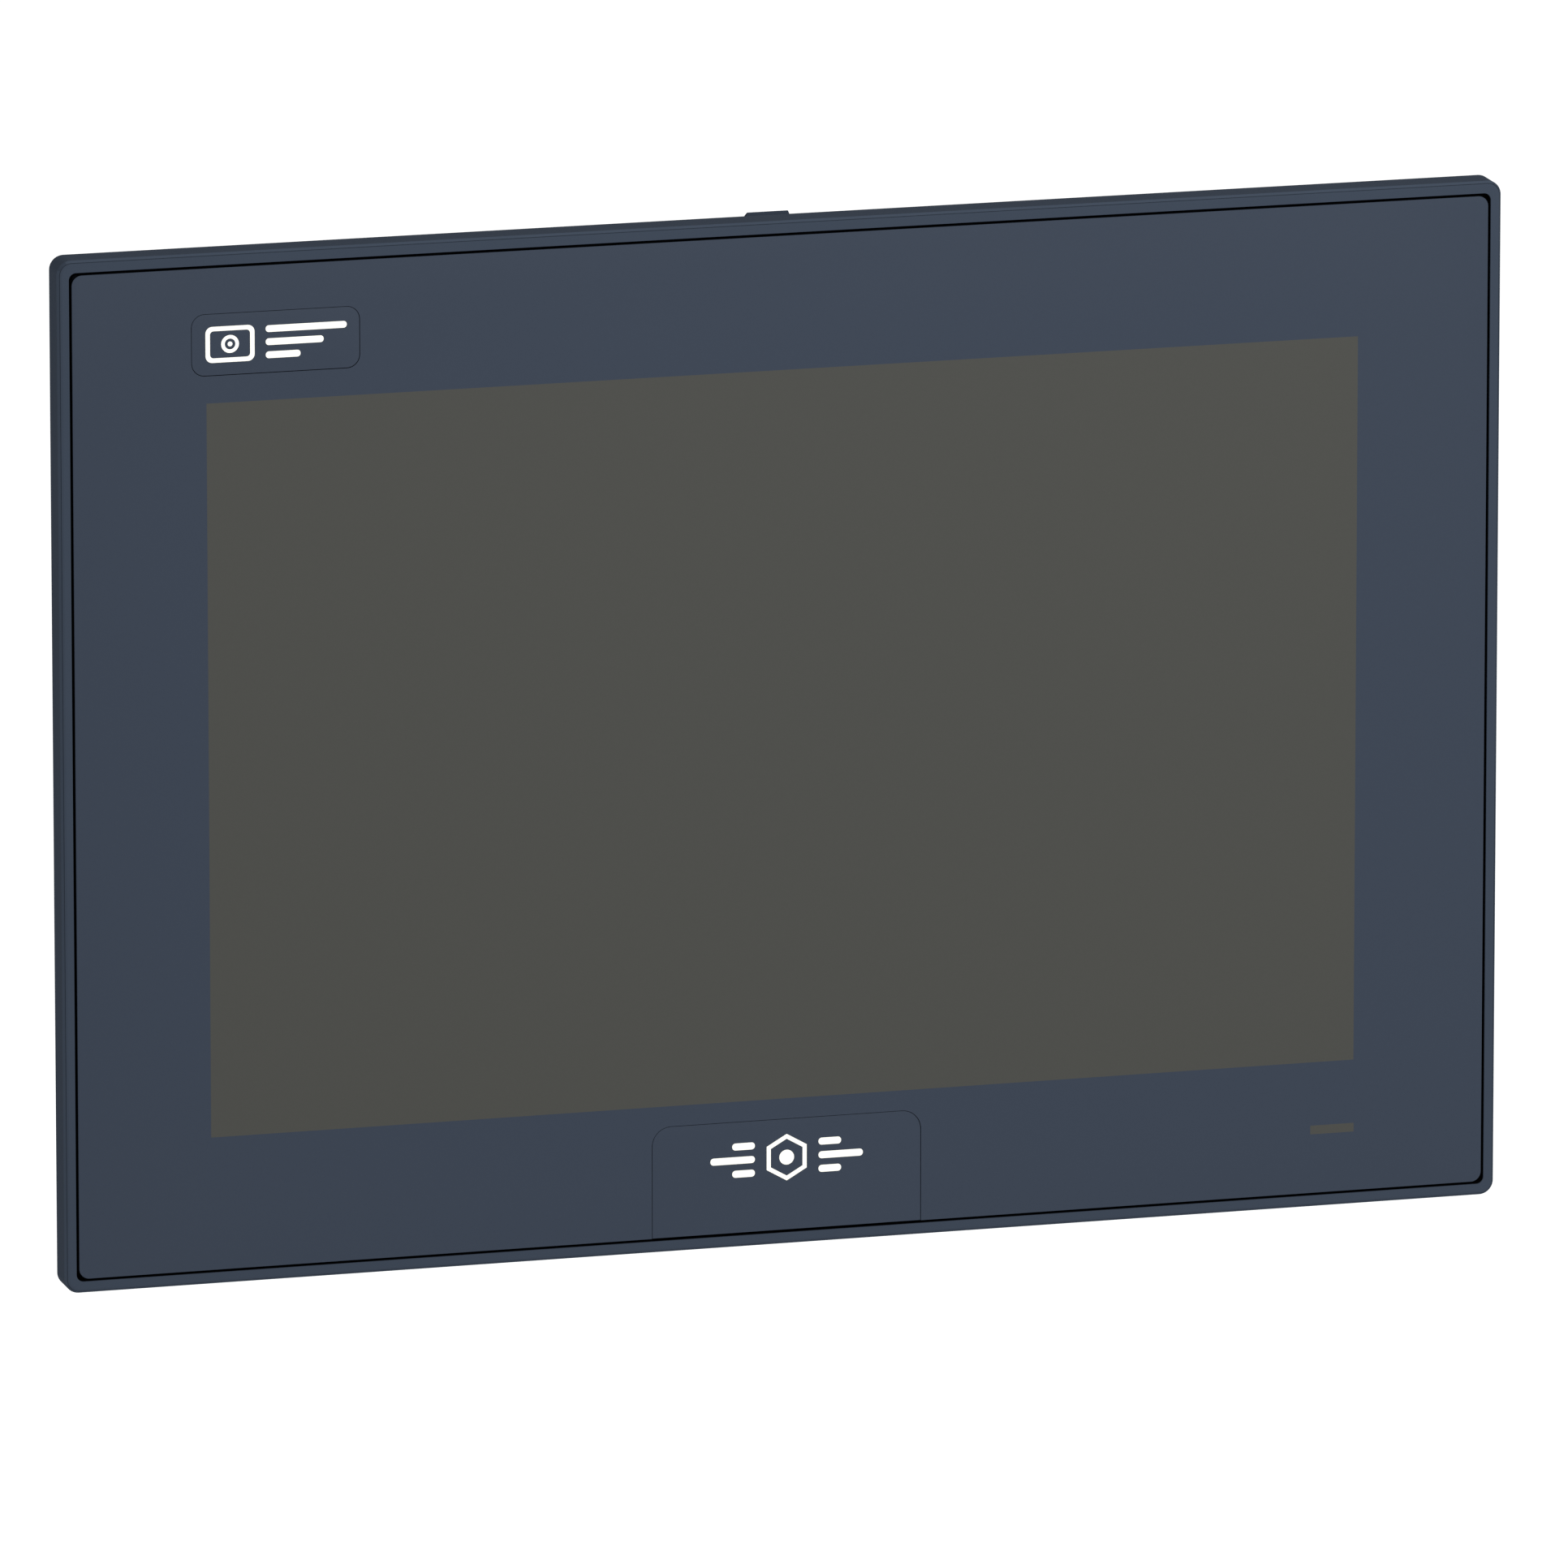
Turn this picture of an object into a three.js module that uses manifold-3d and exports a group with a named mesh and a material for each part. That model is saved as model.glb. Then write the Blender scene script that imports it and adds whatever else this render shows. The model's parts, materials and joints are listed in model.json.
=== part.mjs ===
// Operator touch panel for a machine control cabinet: a 12.1 inch wide display behind a
// printed front film, in a flanged housing that drops into a rectangular cut-out and is
// held by four swing clamps. Millimetres, X to the right, Y from the front to the back,
// Z up. The origin is the centre of the cut-out, on the plane where the bezel's flange
// meets the cabinet wall.

import * as THREE from "three";
import { mergeVertices } from "three/addons/utils/BufferGeometryUtils.js";
import Module from "manifold-3d";

const wasm = await Module();
wasm.setup();

// ---------------------------------------------------------------- driving dimensions
// A pair such as [from, to] is the stretch that a piece covers along one axis.

const GAP = 0.3; // air between two pieces that meet
const OVERCUT = 2; // how far a cutting tool runs past the face that it cuts
const MERGE = 0.1; // how far one solid reaches into another that it is joined to
const WELD = 1e-4; // vertices closer than this are one vertex
const CORNER_FLATS = 4; // flats in a quarter turn of a rounded corner
const ARC_SEGMENTS = CORNER_FLATS / 2; // three.js gives an arc two flats per segment
const EDGE_FLATS = 3; // flats across a rounded edge
const ROUND_SIDES = 16; // sides of a visible round
const SMALL_SIDES = 8; // sides of a hidden or tiny round

// Front
const BEZEL = { halfX: 164.15, halfZ: 115.35, corner: 3.2, depth: 7.9, edge: 0.8 };
const FRONT = -BEZEL.depth;
const FILM = { halfX: 161, halfZ: 112.1, corner: 2.3, y: [FRONT, FRONT + 0.8] };
const FILM_POCKET = { halfX: 161.6, halfZ: 112.7, corner: 1.6, floor: FRONT + 1.1 };
const GROOVE = { width: 1, floor: FRONT + 2.9 }; // the shadow line round the film
const LABEL = { depth: 0.45, thickness: 0.35, margin: 0.12 };
const BADGE = { x: [-134.4, -96.5], z: [88.2, 102], corner: 3 };
const LOGO = { x: [-30.9, 30.9], z: [-FILM.halfZ, -86.75], corner: 4.4 };
const SEAL_GROOVE = { inner: [158.6, 109.6], outer: [162.4, 113.4], corner: 4, floor: -1.5 };
const SEAL = { height: 1, corner: 4 };

// Display stack, from the front to the back
const SENSOR = { halfX: 137, halfZ: 88, y: [FRONT + 1.2, FRONT + 3.2] };
const SENSOR_POCKET = { halfX: 137.5, halfZ: 88.5, floor: FRONT + 3.5 };
const SHELF = { halfX: 133, halfZ: 84, back: -2.5 };
const FOAM = { inner: [133.5, 84.5], outer: [138, 90.5], y: [-2.2, -1.2] };
const DISPLAY = { halfX: 139, halfZ: 92, sheet: 0.5, skirt: 6, pocket: 0.5, core: 1.1 };
const VIEW = { halfX: 131.2, halfZ: 82.3 }; // opening in the display's front frame
const FRAME_FRONT = -0.9;
const GLASS_Y = [-0.1, 2.1];
const BACKLIGHT_Y = [2.4, 7.9];
const BACKLIGHT_RIB = { half: 6, height: 0.35, reach: 0.8, z: [40, -50], x: -70 };
const BRACKET = { sheet: 1, halfZ: 60, foot: 6, hook: 7.6, clearance: 0.6 };

// Tray housing
const TRAY = { halfX: 156.5, halfZ: 107.5, corner: 4, y: [GAP, 18], wall: 2.4 };
const TRAY_FLOOR = TRAY.y[1] - TRAY.wall;
const TRAY_OPENING = { x: [-112, 112], z: [-62, 80], corner: 4 };
const BOSS = { radius: 3.2, height: 5.3, pilot: 1.25, pilotEnd: 0.5, x: 150, z: [-98, 0, 98] };
const BOSS_CLEARANCE = 1.65; // radius of the screws' holes in the tray

// Status light
const LIGHT_WINDOW = { x: [121.1, 131.2], z: [-98.65, -96.65] };
const LIGHT_SLOT_MARGIN = 0.2;
const LIGHT_PIPE = { y: [FRONT + 1.2, -GAP], marginZ: 0.1 };
const LIGHT_BOARD = { x: [116, 136], y: [0.7, 2.2], z: [-103, -95.5] };
const DIODE = { halfX: 2, halfZ: 0.8, front: 0.1 };

// Clamps: the pivot of each is a corner of this rectangle; stowed arms point inwards
const CLAMP = { x: 95, z: 102, travel: 4.9 };
const CLAMP_POCKET = { x: [-13.4, 6], z: -5.9, depth: 12.5, wall: 2 };
const ARM = { y: [7, 11], length: 12.4, halfWidth: 4.2, hub: 5.4, bore: 3.8, tip: 2.4 };
const ARM_FOOT = { length: 4.9, height: 0.7, corner: 2.3 };
const BUSH = { sleeve: 3.4, flange: 5, bore: 2.35, y: [6.7, 12.1], flangeHeight: 0.8 };
const CLAMP_SCREW = { shank: 2, head: 3.6, collar: 4.4, collarY: [5.3, 6.3], headHeight: 2.7 };
const CLAMP_HEAD = TRAY.y[1] + CLAMP.travel + 0.4; // the underside of a screw's head
const CLAMP_RECESS = { reach: 2.3, half: 0.5, depth: 1.5 };
const SCREW_CROWN = 0.5; // chamfer round a screw's head
const CLAMP_HOLE = 2.3;

// Drop catch, a sprung wedge in the top wall
const CATCH = { y: [7.2, 14.4], halfTop: 4.65, halfWidth: 5, z: [102, 114.5], chamfer: 0.9 };
const CATCH_RAMP = { flat: 0.5, low: 108 };
const CATCH_EAR = { halfWidth: 6.8, height: 1.6 };
const CATCH_SLOT = { halfX: 5.35, y: [6.85, 14.75], z: 104 };
const CATCH_WELL = { halfX: 7.2, z: 95, wall: 2 };
const SPRING = { y: 10.8, radius: 1.6, wire: 0.32, turns: 6, z: [95.6, 106.8], bore: 2.4 };
const SPRING_STEPS = 8; // lengths of wire in a turn
const WIRE_SEGMENTS = 3; // pairs of flats round the wire

// Electronics
const CHASSIS = { x: [-124, 124], y: [14.1, 15.3], z: [-74, 90], corner: 3 };
const STANDOFF = { radius: 2.6, sides: 6, x: [-100, 0, 100], z: [-50, 65] };
const BOARD = { x: [-112, 112], y: [20.3, 21.9], z: [-64, 80] };
const PART_LEVEL = BOARD.y[1] + GAP; // what is fitted on the board starts here
const CABLE = { sheet: 0.3 };
const TAIL = { halfX: 8, behind: 0.8, top: -85.5, drop: -94, run: 12.4, end: -56 };
const TAIL_BEND = { front: 1, back: 1.5 };
const TAIL_SLOT = { x: [-10.5, 10.5], z: [-96, -84] };
const TAIL_PLUG = { x: [-9, 9], y: [13.2, BOARD.y[0]], z: [-59.5, -54.5] };
const RIBBON = { x: [31, 57], z: [-8, -18, -23, -30], near: 8.3, far: 12.4 };
const RIBBON_PLUG = { x: [30, 58], y: [13.2, BOARD.y[0]], z: [-30, -25] };
const PLUG_SLOT_MARGIN = 1; // round each connector where it passes the chassis
const CAPACITORS = { x: [-104.5, -93.5, -82.5, -71.5], z: -30, radius: 4, height: 11 };
const BOARD_BLOCKS = [
  { x: [-93, -75], z: -10, halfX: 6, halfZ: 6, height: 6 }, // coils
  { x: [-9, 9], z: 12, halfX: 6, halfZ: 4.5, height: 1.2 }, // memory
  { x: [-6, 14], z: -38, halfX: 7.5, halfZ: 5, height: 5 }, // network transformers
];
const PROCESSOR = { halfX: 13.5, centreZ: 35, height: 3, lid: 3, lidHeight: 1.2 };
const HEATSINK = { x: [-48, 48], z: [0, 70], y: [36.5, 39.7], finTop: 48.5, fins: 15 };
const FIN = { pitch: 6, thickness: 1.8, z: [5, 65] };
const PEDESTAL = { halfX: 13, z: [22, 48] };

// Rear cover
const COVER = { x: [-120, 120], y: [18.3, 42], z: [-70, 88], corner: 5, edge: 1.5, wall: 2 };
const COVER_LIP = { width: 3, height: 2 };
const COVER_EAR = { x: 126, z: [-40, 60], radius: 6, hole: 1.8 };
const COVER_INNER = COVER.y[1] - COVER.wall;
const SINK_WINDOW = { x: [-45, 45], z: [3, 67], corner: 2 };
const VENT = { pitch: 9, width: 3, y: [24, 37], count: 22 };
const VENTS_BELOW = [-104, -95, 70, 79, 88, 97, 106];
const PLATE = { x: [-112, -58], z: [-54, -20], corner: 1.5, thickness: 0.4 };

// Service bay: a door over a small board with a switch bank and a coin battery
const BAY_WINDOW = { x: [64, 106], z: [-1, 51], corner: 2 };
const DOOR = { x: [60, 112.4], y: [COVER.y[1] + GAP, COVER.y[1] + 2.3], z: [-5, 55], corner: 2 };
const DOOR_GRIP = { x: [57.5, 60], z: [19, 31] };
const HINGE = { x: 115, y: COVER.y[1] + 2.6, radius: 2.3, bore: 1.35, knuckle: 10 };
const HINGE_PIN = { radius: 1.05, proud: 0.4 };
const SERVICE_BOARD = { x: [66, 104], y: [30, 31.6], z: [1, 49] };
const SERVICE_POST = { x: [70, 80], z: [6, 22] };
const SERVICE_LEVEL = SERVICE_BOARD.y[1] + GAP;
const DIP = { x: 77, z: 39, halfX: 6, halfZ: 4.6, height: 3.4, pitch: 2.54, ways: 4 };
const DIP_SLOT = { halfX: 0.95, halfZ: 1.9, depth: 1.6 };
const DIP_SLIDER = { halfX: 0.6, z: [-1.6, -0.1], proud: 1 };
const BATTERY = { x: 91, z: 16, radius: 10, thickness: 3.2, lid: 8.8, lidHeight: 0.7 };
const HOLDER = { radius: 12, clearance: 0.4, floor: 1.1, height: 4.1, fingerHalf: 4 };

// Connectors in the underside of the cover
const PORT_FACE = COVER.z[0] - 0.6;
const PORT_GAP = 0.4;
const INLET = { x: -74, halfX: 9.2, y: [24, 33.2], back: -58, wall: 1, floor: -62 };
const INLET_LEG = { inset: 2, length: 5 };
const PLUG_TONGUE = { halfX: 7.8, y: [25.4, 31.8], top: -62.4 };
const PLUG_BODY = { halfX: 9, y: [23.8, 33.4], z: [-84, -71] };
const TERMINAL = { poles: 3, pitch: 5.08, screw: 1.6, well: 2, z: -78, screwY: [28.4, 32.4] };
const WIRE_HOLE = { radius: 1.5, y: 27.5, end: -75.5 };
const TERMINAL_SLOT = { half: 0.3, depth: 0.8 };
const CONTACT = { half: 0.5, hole: 0.9, tip: -68.4, holeEnd: -68.8 };
const SERIAL = { x: -36, halfX: 15.4, y: [22.6, 35.1], depth: 1, back: -54 };
const SERIAL_SHELL = { wide: 8.5, narrow: 7.3, half: 4.2, wall: 0.8, proud: 5.8, depth: 5.4 };
const SERIAL_INSERT = { above: 1, below: 2 }; // the insulator's distance to board and flange
const SERIAL_PINS = { count: 5, pitch: 2.77, radius: 0.5, sides: 6, off: 1.4, sunk: 1 };
const LAN = { x: 4, halfX: 16.4, y: [22.2, 35.8], back: -50, jacks: 2, pitch: 16 };
const LAN_JACK = { halfX: 5.9, y: [24, 31.2], latch: [31.2, 33.4], latchHalf: 2.1, depth: 13 };
const USB = { x: 36, halfX: 7.4, y: [22.2, 37.8], back: -54, depth: 11, levels: [26.1, 33.9] };
const USB_SOCKET = { halfX: 6.3, half: 2.6, tongueHalfX: 5.4, tongue: 1.8, sunk: 1.5 };
const RESET = { x: 55, y: 28, hole: 2, shaft: 1.6, collar: 2.7, stem: 1.2 };
const RESET_Z = { tip: -70.6, shoulder: -67.6, collar: -66.9, stem: -64.2 };
const RESET_SWITCH = { half: 3, z: [-65.2, -60], bore: 1.6, boreEnd: -62.9, leg: 2 };
const EARTH = { x: -100, z: -88, washer: 5, head: 3.8, shank: 2, length: 7, hole: 2.4 };
const EARTH_TOP = { washer: 1, head: 2.6 };
const EARTH_RECESS = { reach: 2.4, half: 0.5, depth: 1.4 };

// Memory card in the right-hand side of the cover
const CARD = { x: [87.6, 119.6], y: [23.2, 25.3], z: [20, 44], notch: 4 };
const CARD_SOCKET = { x: [86.2, 117.4], y: [PART_LEVEL, 26.4], z: [18, 46] };
const CARD_SLOT = { margin: 0.4, thumb: [27.5, 36.5], thumbY: [20.8, 28] };

// ---------------------------------------------------------------- shape tools

// A closed three.js geometry as a manifold solid.
function toSolid(geometry) {
  const flat = geometry.index ? geometry.toNonIndexed() : geometry;
  const bare = new THREE.BufferGeometry();
  bare.setAttribute("position", flat.getAttribute("position"));
  const welded = mergeVertices(bare, WELD);
  const corners = welded.index.array;
  const kept = [];
  for (let i = 0; i < corners.length; i += 3) {
    const [a, b, c] = [corners[i], corners[i + 1], corners[i + 2]];
    if (a !== b && b !== c && c !== a) kept.push(a, b, c);
  }
  return new wasm.Manifold(
    new wasm.Mesh({
      numProp: 3,
      vertProperties: welded.getAttribute("position").array,
      triVerts: new Uint32Array(kept),
    }),
  );
}

// A manifold solid as a flat-shaded three.js geometry.
function toGeometry(solid) {
  const mesh = solid.getMesh();
  const indexed = new THREE.BufferGeometry();
  indexed.setAttribute("position", new THREE.BufferAttribute(mesh.vertProperties, 3));
  indexed.setIndex(new THREE.BufferAttribute(mesh.triVerts, 1));
  const geometry = indexed.toNonIndexed();
  geometry.computeVertexNormals();
  return geometry;
}

const join = (...solids) => solids.reduce((whole, next) => whole.add(next));
const cut = (base, ...tools) => tools.reduce((left, tool) => left.subtract(tool), base);
const around = (centre, half) => [centre - half, centre + half];
const mirrored = (range, side) => (side > 0 ? range : [-range[1], -range[0]]);
const beyond = ([from, to]) => [from - OVERCUT, to + OVERCUT];
const span = (range) => range[1] - range[0];
const middle = (range) => (range[0] + range[1]) / 2;
const inset = (range, margin) => [range[0] + margin, range[1] - margin];

// A row of evenly spaced places, centred on a place.
function row(count, pitch, centre = 0) {
  const first = centre - ((count - 1) * pitch) / 2;
  return Array.from({ length: count }, (_, i) => first + i * pitch);
}

// A plain box between three pairs.
function box(x, y, z) {
  const geometry = new THREE.BoxGeometry(span(x), span(y), span(z));
  geometry.translate(middle(x), middle(y), middle(z));
  return toSolid(geometry);
}

// A rectangle with rounded corners in the panel's plane; a shape's own y stands for Z.
function rectangle(x, z, corner = 0) {
  const shape = new THREE.Shape();
  if (corner === 0) {
    shape.moveTo(x[0], z[0]).lineTo(x[1], z[0]).lineTo(x[1], z[1]).lineTo(x[0], z[1]);
    return shape;
  }
  const right = x[1] - corner;
  const left = x[0] + corner;
  const top = z[1] - corner;
  const bottom = z[0] + corner;
  const quarter = Math.PI / 2;
  shape.absarc(right, bottom, corner, -quarter, 0);
  shape.absarc(right, top, corner, 0, quarter);
  shape.absarc(left, top, corner, quarter, 2 * quarter);
  shape.absarc(left, bottom, corner, 2 * quarter, 3 * quarter);
  return shape;
}

const centred = ({ halfX, halfZ, corner }) =>
  rectangle(around(0, halfX), around(0, halfZ), corner);

// A shape of the panel's plane given thickness along Y.
function slab(shape, y) {
  const geometry = new THREE.ExtrudeGeometry(shape, {
    depth: span(y),
    bevelEnabled: false,
    curveSegments: ARC_SEGMENTS,
  });
  geometry.rotateX(Math.PI / 2);
  geometry.translate(0, y[1], 0);
  return toSolid(geometry);
}

// A ring between two rounded rectangles, each given as [halfX, halfZ].
function ring(inner, outer, corner, y) {
  const edge = rectangle(around(0, outer[0]), around(0, outer[1]), corner);
  const hole = rectangle(around(0, inner[0]), around(0, inner[1]), corner);
  return cut(slab(edge, y), slab(hole, beyond(y)));
}

// A slab whose edge is rounded at one end of its stretch: "front" or "back".
function edgedSlab(shape, y, edge, end) {
  const long = end === "front" ? [y[0], y[1] + 2 * edge] : [y[0] - 2 * edge, y[1]];
  const geometry = new THREE.ExtrudeGeometry(shape, {
    depth: span(long) - 2 * edge,
    bevelEnabled: true,
    bevelThickness: edge,
    bevelSize: edge,
    bevelOffset: -edge,
    bevelSegments: EDGE_FLATS,
    curveSegments: ARC_SEGMENTS,
  });
  geometry.rotateX(Math.PI / 2);
  geometry.translate(0, long[1] - edge, 0);
  const far = [-2 * BEZEL.halfX, 2 * BEZEL.halfX];
  const waste = end === "front" ? [y[1], long[1] + OVERCUT] : [long[0] - OVERCUT, y[0]];
  return cut(toSolid(geometry), box(far, waste, far));
}

// A cylinder along an axis, centred on a place in the two other axes.
function rod(axis, radius, range, place, sides = SMALL_SIDES) {
  const geometry = new THREE.CylinderGeometry(radius, radius, span(range), sides);
  if (axis === "x") {
    geometry.rotateZ(-Math.PI / 2).translate(middle(range), place[0], place[1]);
  } else if (axis === "y") {
    geometry.translate(place[0], middle(range), place[1]);
  } else {
    geometry.rotateX(Math.PI / 2).translate(place[0], place[1], middle(range));
  }
  return toSolid(geometry);
}

// A round piece about the Y axis from a profile of [radius, y] points, axis to axis.
function turned(profile, sides = ROUND_SIDES) {
  const points = profile.map(([radius, y]) => new THREE.Vector2(radius, y));
  return toSolid(new THREE.LatheGeometry(points, sides));
}

// A flat section drawn in (y, z), given width along X.
function prism(points, x) {
  const shape = new THREE.Shape(points.map(([y, z]) => new THREE.Vector2(y, z)));
  const geometry = new THREE.ExtrudeGeometry(shape, { depth: span(x), bevelEnabled: false });
  // The shape's x, y and depth become Y, Z and X.
  const turn = new THREE.Matrix4().makeBasis(
    new THREE.Vector3(0, 1, 0),
    new THREE.Vector3(0, 0, 1),
    new THREE.Vector3(1, 0, 0),
  );
  geometry.applyMatrix4(turn);
  geometry.translate(x[0], 0, 0);
  return toSolid(geometry);
}

// A flat cable that follows a route of (y, z) points, each stretch square to an axis
// or slanting; its thickness lies on both sides of the route.
function flatCable(route, x) {
  const half = CABLE.sheet / 2;
  const side = (sign) =>
    route.map((point, i) => {
      const before = route[Math.max(i - 1, 0)];
      const after = route[Math.min(i + 1, route.length - 1)];
      const into = new THREE.Vector2(point[0] - before[0], point[1] - before[1]).normalize();
      const out = new THREE.Vector2(after[0] - point[0], after[1] - point[1]).normalize();
      const along = into.clone().add(out).normalize();
      const lean = into.length() ? into.dot(along) : out.dot(along);
      const offset = (sign * half) / lean;
      return [point[0] - along.y * offset, point[1] + along.x * offset];
    });
  return prism([...side(-1), ...side(1).reverse()], x);
}

// ---------------------------------------------------------------- front

// The frame that shows: film pocket, shadow groove, shelf for the sensor, seal groove.
function frontBezel() {
  const blank = edgedSlab(centred(BEZEL), [FRONT, 0], BEZEL.edge, "front");
  const bosses = bossPlaces().map((place) =>
    rod("y", BOSS.radius, [-MERGE, BOSS.height], place),
  );
  const pilots = bossPlaces().map((place) =>
    rod("y", BOSS.pilot, [BOSS.pilotEnd, BOSS.height + OVERCUT], place),
  );
  const grooveOuter = [FILM_POCKET.halfX, FILM_POCKET.halfZ];
  const grooveInner = grooveOuter.map((half) => half - GROOVE.width);
  const displayPocket = rectangle(
    around(0, DISPLAY.halfX + DISPLAY.pocket),
    around(0, DISPLAY.halfZ + DISPLAY.pocket),
  );
  const lightSlot = box(
    LIGHT_WINDOW.x,
    [FRONT, OVERCUT],
    inset(LIGHT_WINDOW.z, -LIGHT_SLOT_MARGIN),
  );
  return cut(
    join(blank, ...bosses),
    slab(centred(FILM_POCKET), [FRONT - OVERCUT, FILM_POCKET.floor]),
    ring(grooveInner, grooveOuter, FILM_POCKET.corner, [FILM_POCKET.floor - MERGE, GROOVE.floor]),
    slab(centred(SENSOR_POCKET), [FRONT, SENSOR_POCKET.floor]),
    slab(centred(SHELF), [FRONT, OVERCUT]),
    slab(displayPocket, [SHELF.back, OVERCUT]),
    box(TAIL_SLOT.x, [SENSOR_POCKET.floor, OVERCUT], TAIL_SLOT.z),
    ring(SEAL_GROOVE.inner, SEAL_GROOVE.outer, SEAL_GROOVE.corner, [SEAL_GROOVE.floor, OVERCUT]),
    lightSlot,
    ...pilots,
  );
}

function bossPlaces() {
  return [-1, 1].flatMap((side) => BOSS.z.map((z) => [side * BOSS.x, z]));
}

// The printed film: two shallow recesses take the badge and the logo label.
function frontFilm() {
  const recess = [FRONT - OVERCUT, FRONT + LABEL.depth];
  return cut(
    slab(centred(FILM), FILM.y),
    slab(rectangle(BADGE.x, BADGE.z, BADGE.corner), recess),
    slab(rectangle(LOGO.x, [LOGO.z[0] - 2 * LOGO.corner, LOGO.z[1]], LOGO.corner), recess),
  );
}

function badgeLabel() {
  const shape = rectangle(
    inset(BADGE.x, LABEL.margin),
    inset(BADGE.z, LABEL.margin),
    BADGE.corner - LABEL.margin,
  );
  return slab(shape, [FRONT, FRONT + LABEL.thickness]);
}

// The logo label runs out at the film's lower edge, so only its top corners are round.
function logoLabel() {
  const z = inset(LOGO.z, LABEL.margin);
  const corner = LOGO.corner - LABEL.margin;
  const whole = rectangle(inset(LOGO.x, LABEL.margin), [z[0] - 2 * corner, z[1]], corner);
  const below = box(beyond(LOGO.x), [FRONT - OVERCUT, 0], [z[0] - 3 * corner, z[0]]);
  return cut(slab(whole, [FRONT, FRONT + LABEL.thickness]), below);
}

function panelGasket() {
  const inner = SEAL_GROOVE.inner.map((half) => half + GAP);
  const outer = SEAL_GROOVE.outer.map((half) => half - GAP);
  return ring(inner, outer, SEAL.corner, [SEAL_GROOVE.floor + GAP, SEAL.height]);
}

function statusLightPipe() {
  return box(
    inset(LIGHT_WINDOW.x, GAP),
    LIGHT_PIPE.y,
    inset(LIGHT_WINDOW.z, LIGHT_PIPE.marginZ),
  );
}

// A strip of board with the light-emitting diode under the middle of the pipe.
function statusLightBoard() {
  const board = box(LIGHT_BOARD.x, LIGHT_BOARD.y, LIGHT_BOARD.z);
  const diode = box(
    around(middle(LIGHT_WINDOW.x), DIODE.halfX),
    [DIODE.front, LIGHT_BOARD.y[0] + MERGE],
    around(middle(LIGHT_WINDOW.z), DIODE.halfZ),
  );
  return join(board, diode);
}

// ---------------------------------------------------------------- display

const touchSensor = () => slab(centred(SENSOR), SENSOR.y);

// Leaves the sensor's lower edge, drops through the slot in the shelf, runs back under
// the display and turns up to the connector of the main board.
function touchFlexTail() {
  const start = SENSOR.y[1] + TAIL.behind;
  return flatCable(
    [
      [start, TAIL.top],
      [start, TAIL.drop + TAIL_BEND.front],
      [start + TAIL_BEND.front, TAIL.drop],
      [TAIL.run - TAIL_BEND.back, TAIL.drop],
      [TAIL.run, TAIL.drop + TAIL_BEND.back],
      [TAIL.run, TAIL.end],
    ],
    around(0, TAIL.halfX),
  );
}

const displayGasket = () => ring(FOAM.inner, FOAM.outer, 0, FOAM.y);

// Pressed sheet: a flat face with the view cut out, and a skirt round the display.
function displayFrame() {
  const outer = [DISPLAY.halfX, DISPLAY.halfZ];
  const inside = outer.map((half) => half - DISPLAY.sheet);
  const back = FRAME_FRONT + DISPLAY.sheet;
  return join(
    ring([VIEW.halfX, VIEW.halfZ], outer, 0, [FRAME_FRONT, back]),
    ring(inside, outer, 0, [FRAME_FRONT, DISPLAY.skirt]),
  );
}

const displayCore = (y) =>
  box(around(0, DISPLAY.halfX - DISPLAY.core), y, around(0, DISPLAY.halfZ - DISPLAY.core));

// The backlight's moulded frame holds the light guide; ribs stiffen its back.
function backlightUnit() {
  const { half, height, reach, z, x } = BACKLIGHT_RIB;
  const low = BACKLIGHT_Y[1] - height;
  const y = [low - MERGE, BACKLIGHT_Y[1]];
  const across = z.map((level) => box(around(0, DISPLAY.halfX * reach), y, around(level, half)));
  const upright = box(around(x, half), y, around(0, DISPLAY.halfZ * reach));
  return join(displayCore([BACKLIGHT_Y[0], low]), ...across, upright);
}

// A strip screwed to the bezel at its foot, hooked over the back of the display.
function displayBracket(side) {
  const near = DISPLAY.halfX + BRACKET.clearance;
  const back = BACKLIGHT_Y[1] + GAP;
  const z = around(0, BRACKET.halfZ);
  const upright = box(
    mirrored([near, near + BRACKET.sheet], side),
    [GAP, back + BRACKET.sheet],
    z,
  );
  const foot = box(mirrored([near, near + BRACKET.foot], side), [GAP, GAP + BRACKET.sheet], z);
  const hook = box(
    mirrored([near - BRACKET.hook, near + BRACKET.sheet], side),
    [back, back + BRACKET.sheet],
    z,
  );
  return join(upright, foot, hook);
}

function displayRibbon() {
  const { near, far, z, x } = RIBBON;
  return flatCable([near, near, far, far].map((y, i) => [y, z[i]]), x);
}

// ---------------------------------------------------------------- tray housing

const CLAMP_CORNERS = [
  { name: "1", sideX: -1, sideZ: 1 },
  { name: "2", sideX: 1, sideZ: 1 },
  { name: "3", sideX: -1, sideZ: -1 },
  { name: "4", sideX: 1, sideZ: -1 },
];

// A range measured from a clamp's pivot, as a range of the whole panel.
const fromPivot = (range, pivot, side) => mirrored(range, side).map((v) => v + side * pivot);

// The open pocket that a clamp's arm swings in, and the block of wall round it.
function clampPocket({ sideX, sideZ }) {
  const out = TRAY.halfZ - CLAMP.z;
  return box(
    fromPivot(CLAMP_POCKET.x, CLAMP.x, sideX),
    [-OVERCUT, CLAMP_POCKET.depth],
    fromPivot([CLAMP_POCKET.z, out + OVERCUT], CLAMP.z, sideZ),
  );
}

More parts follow.
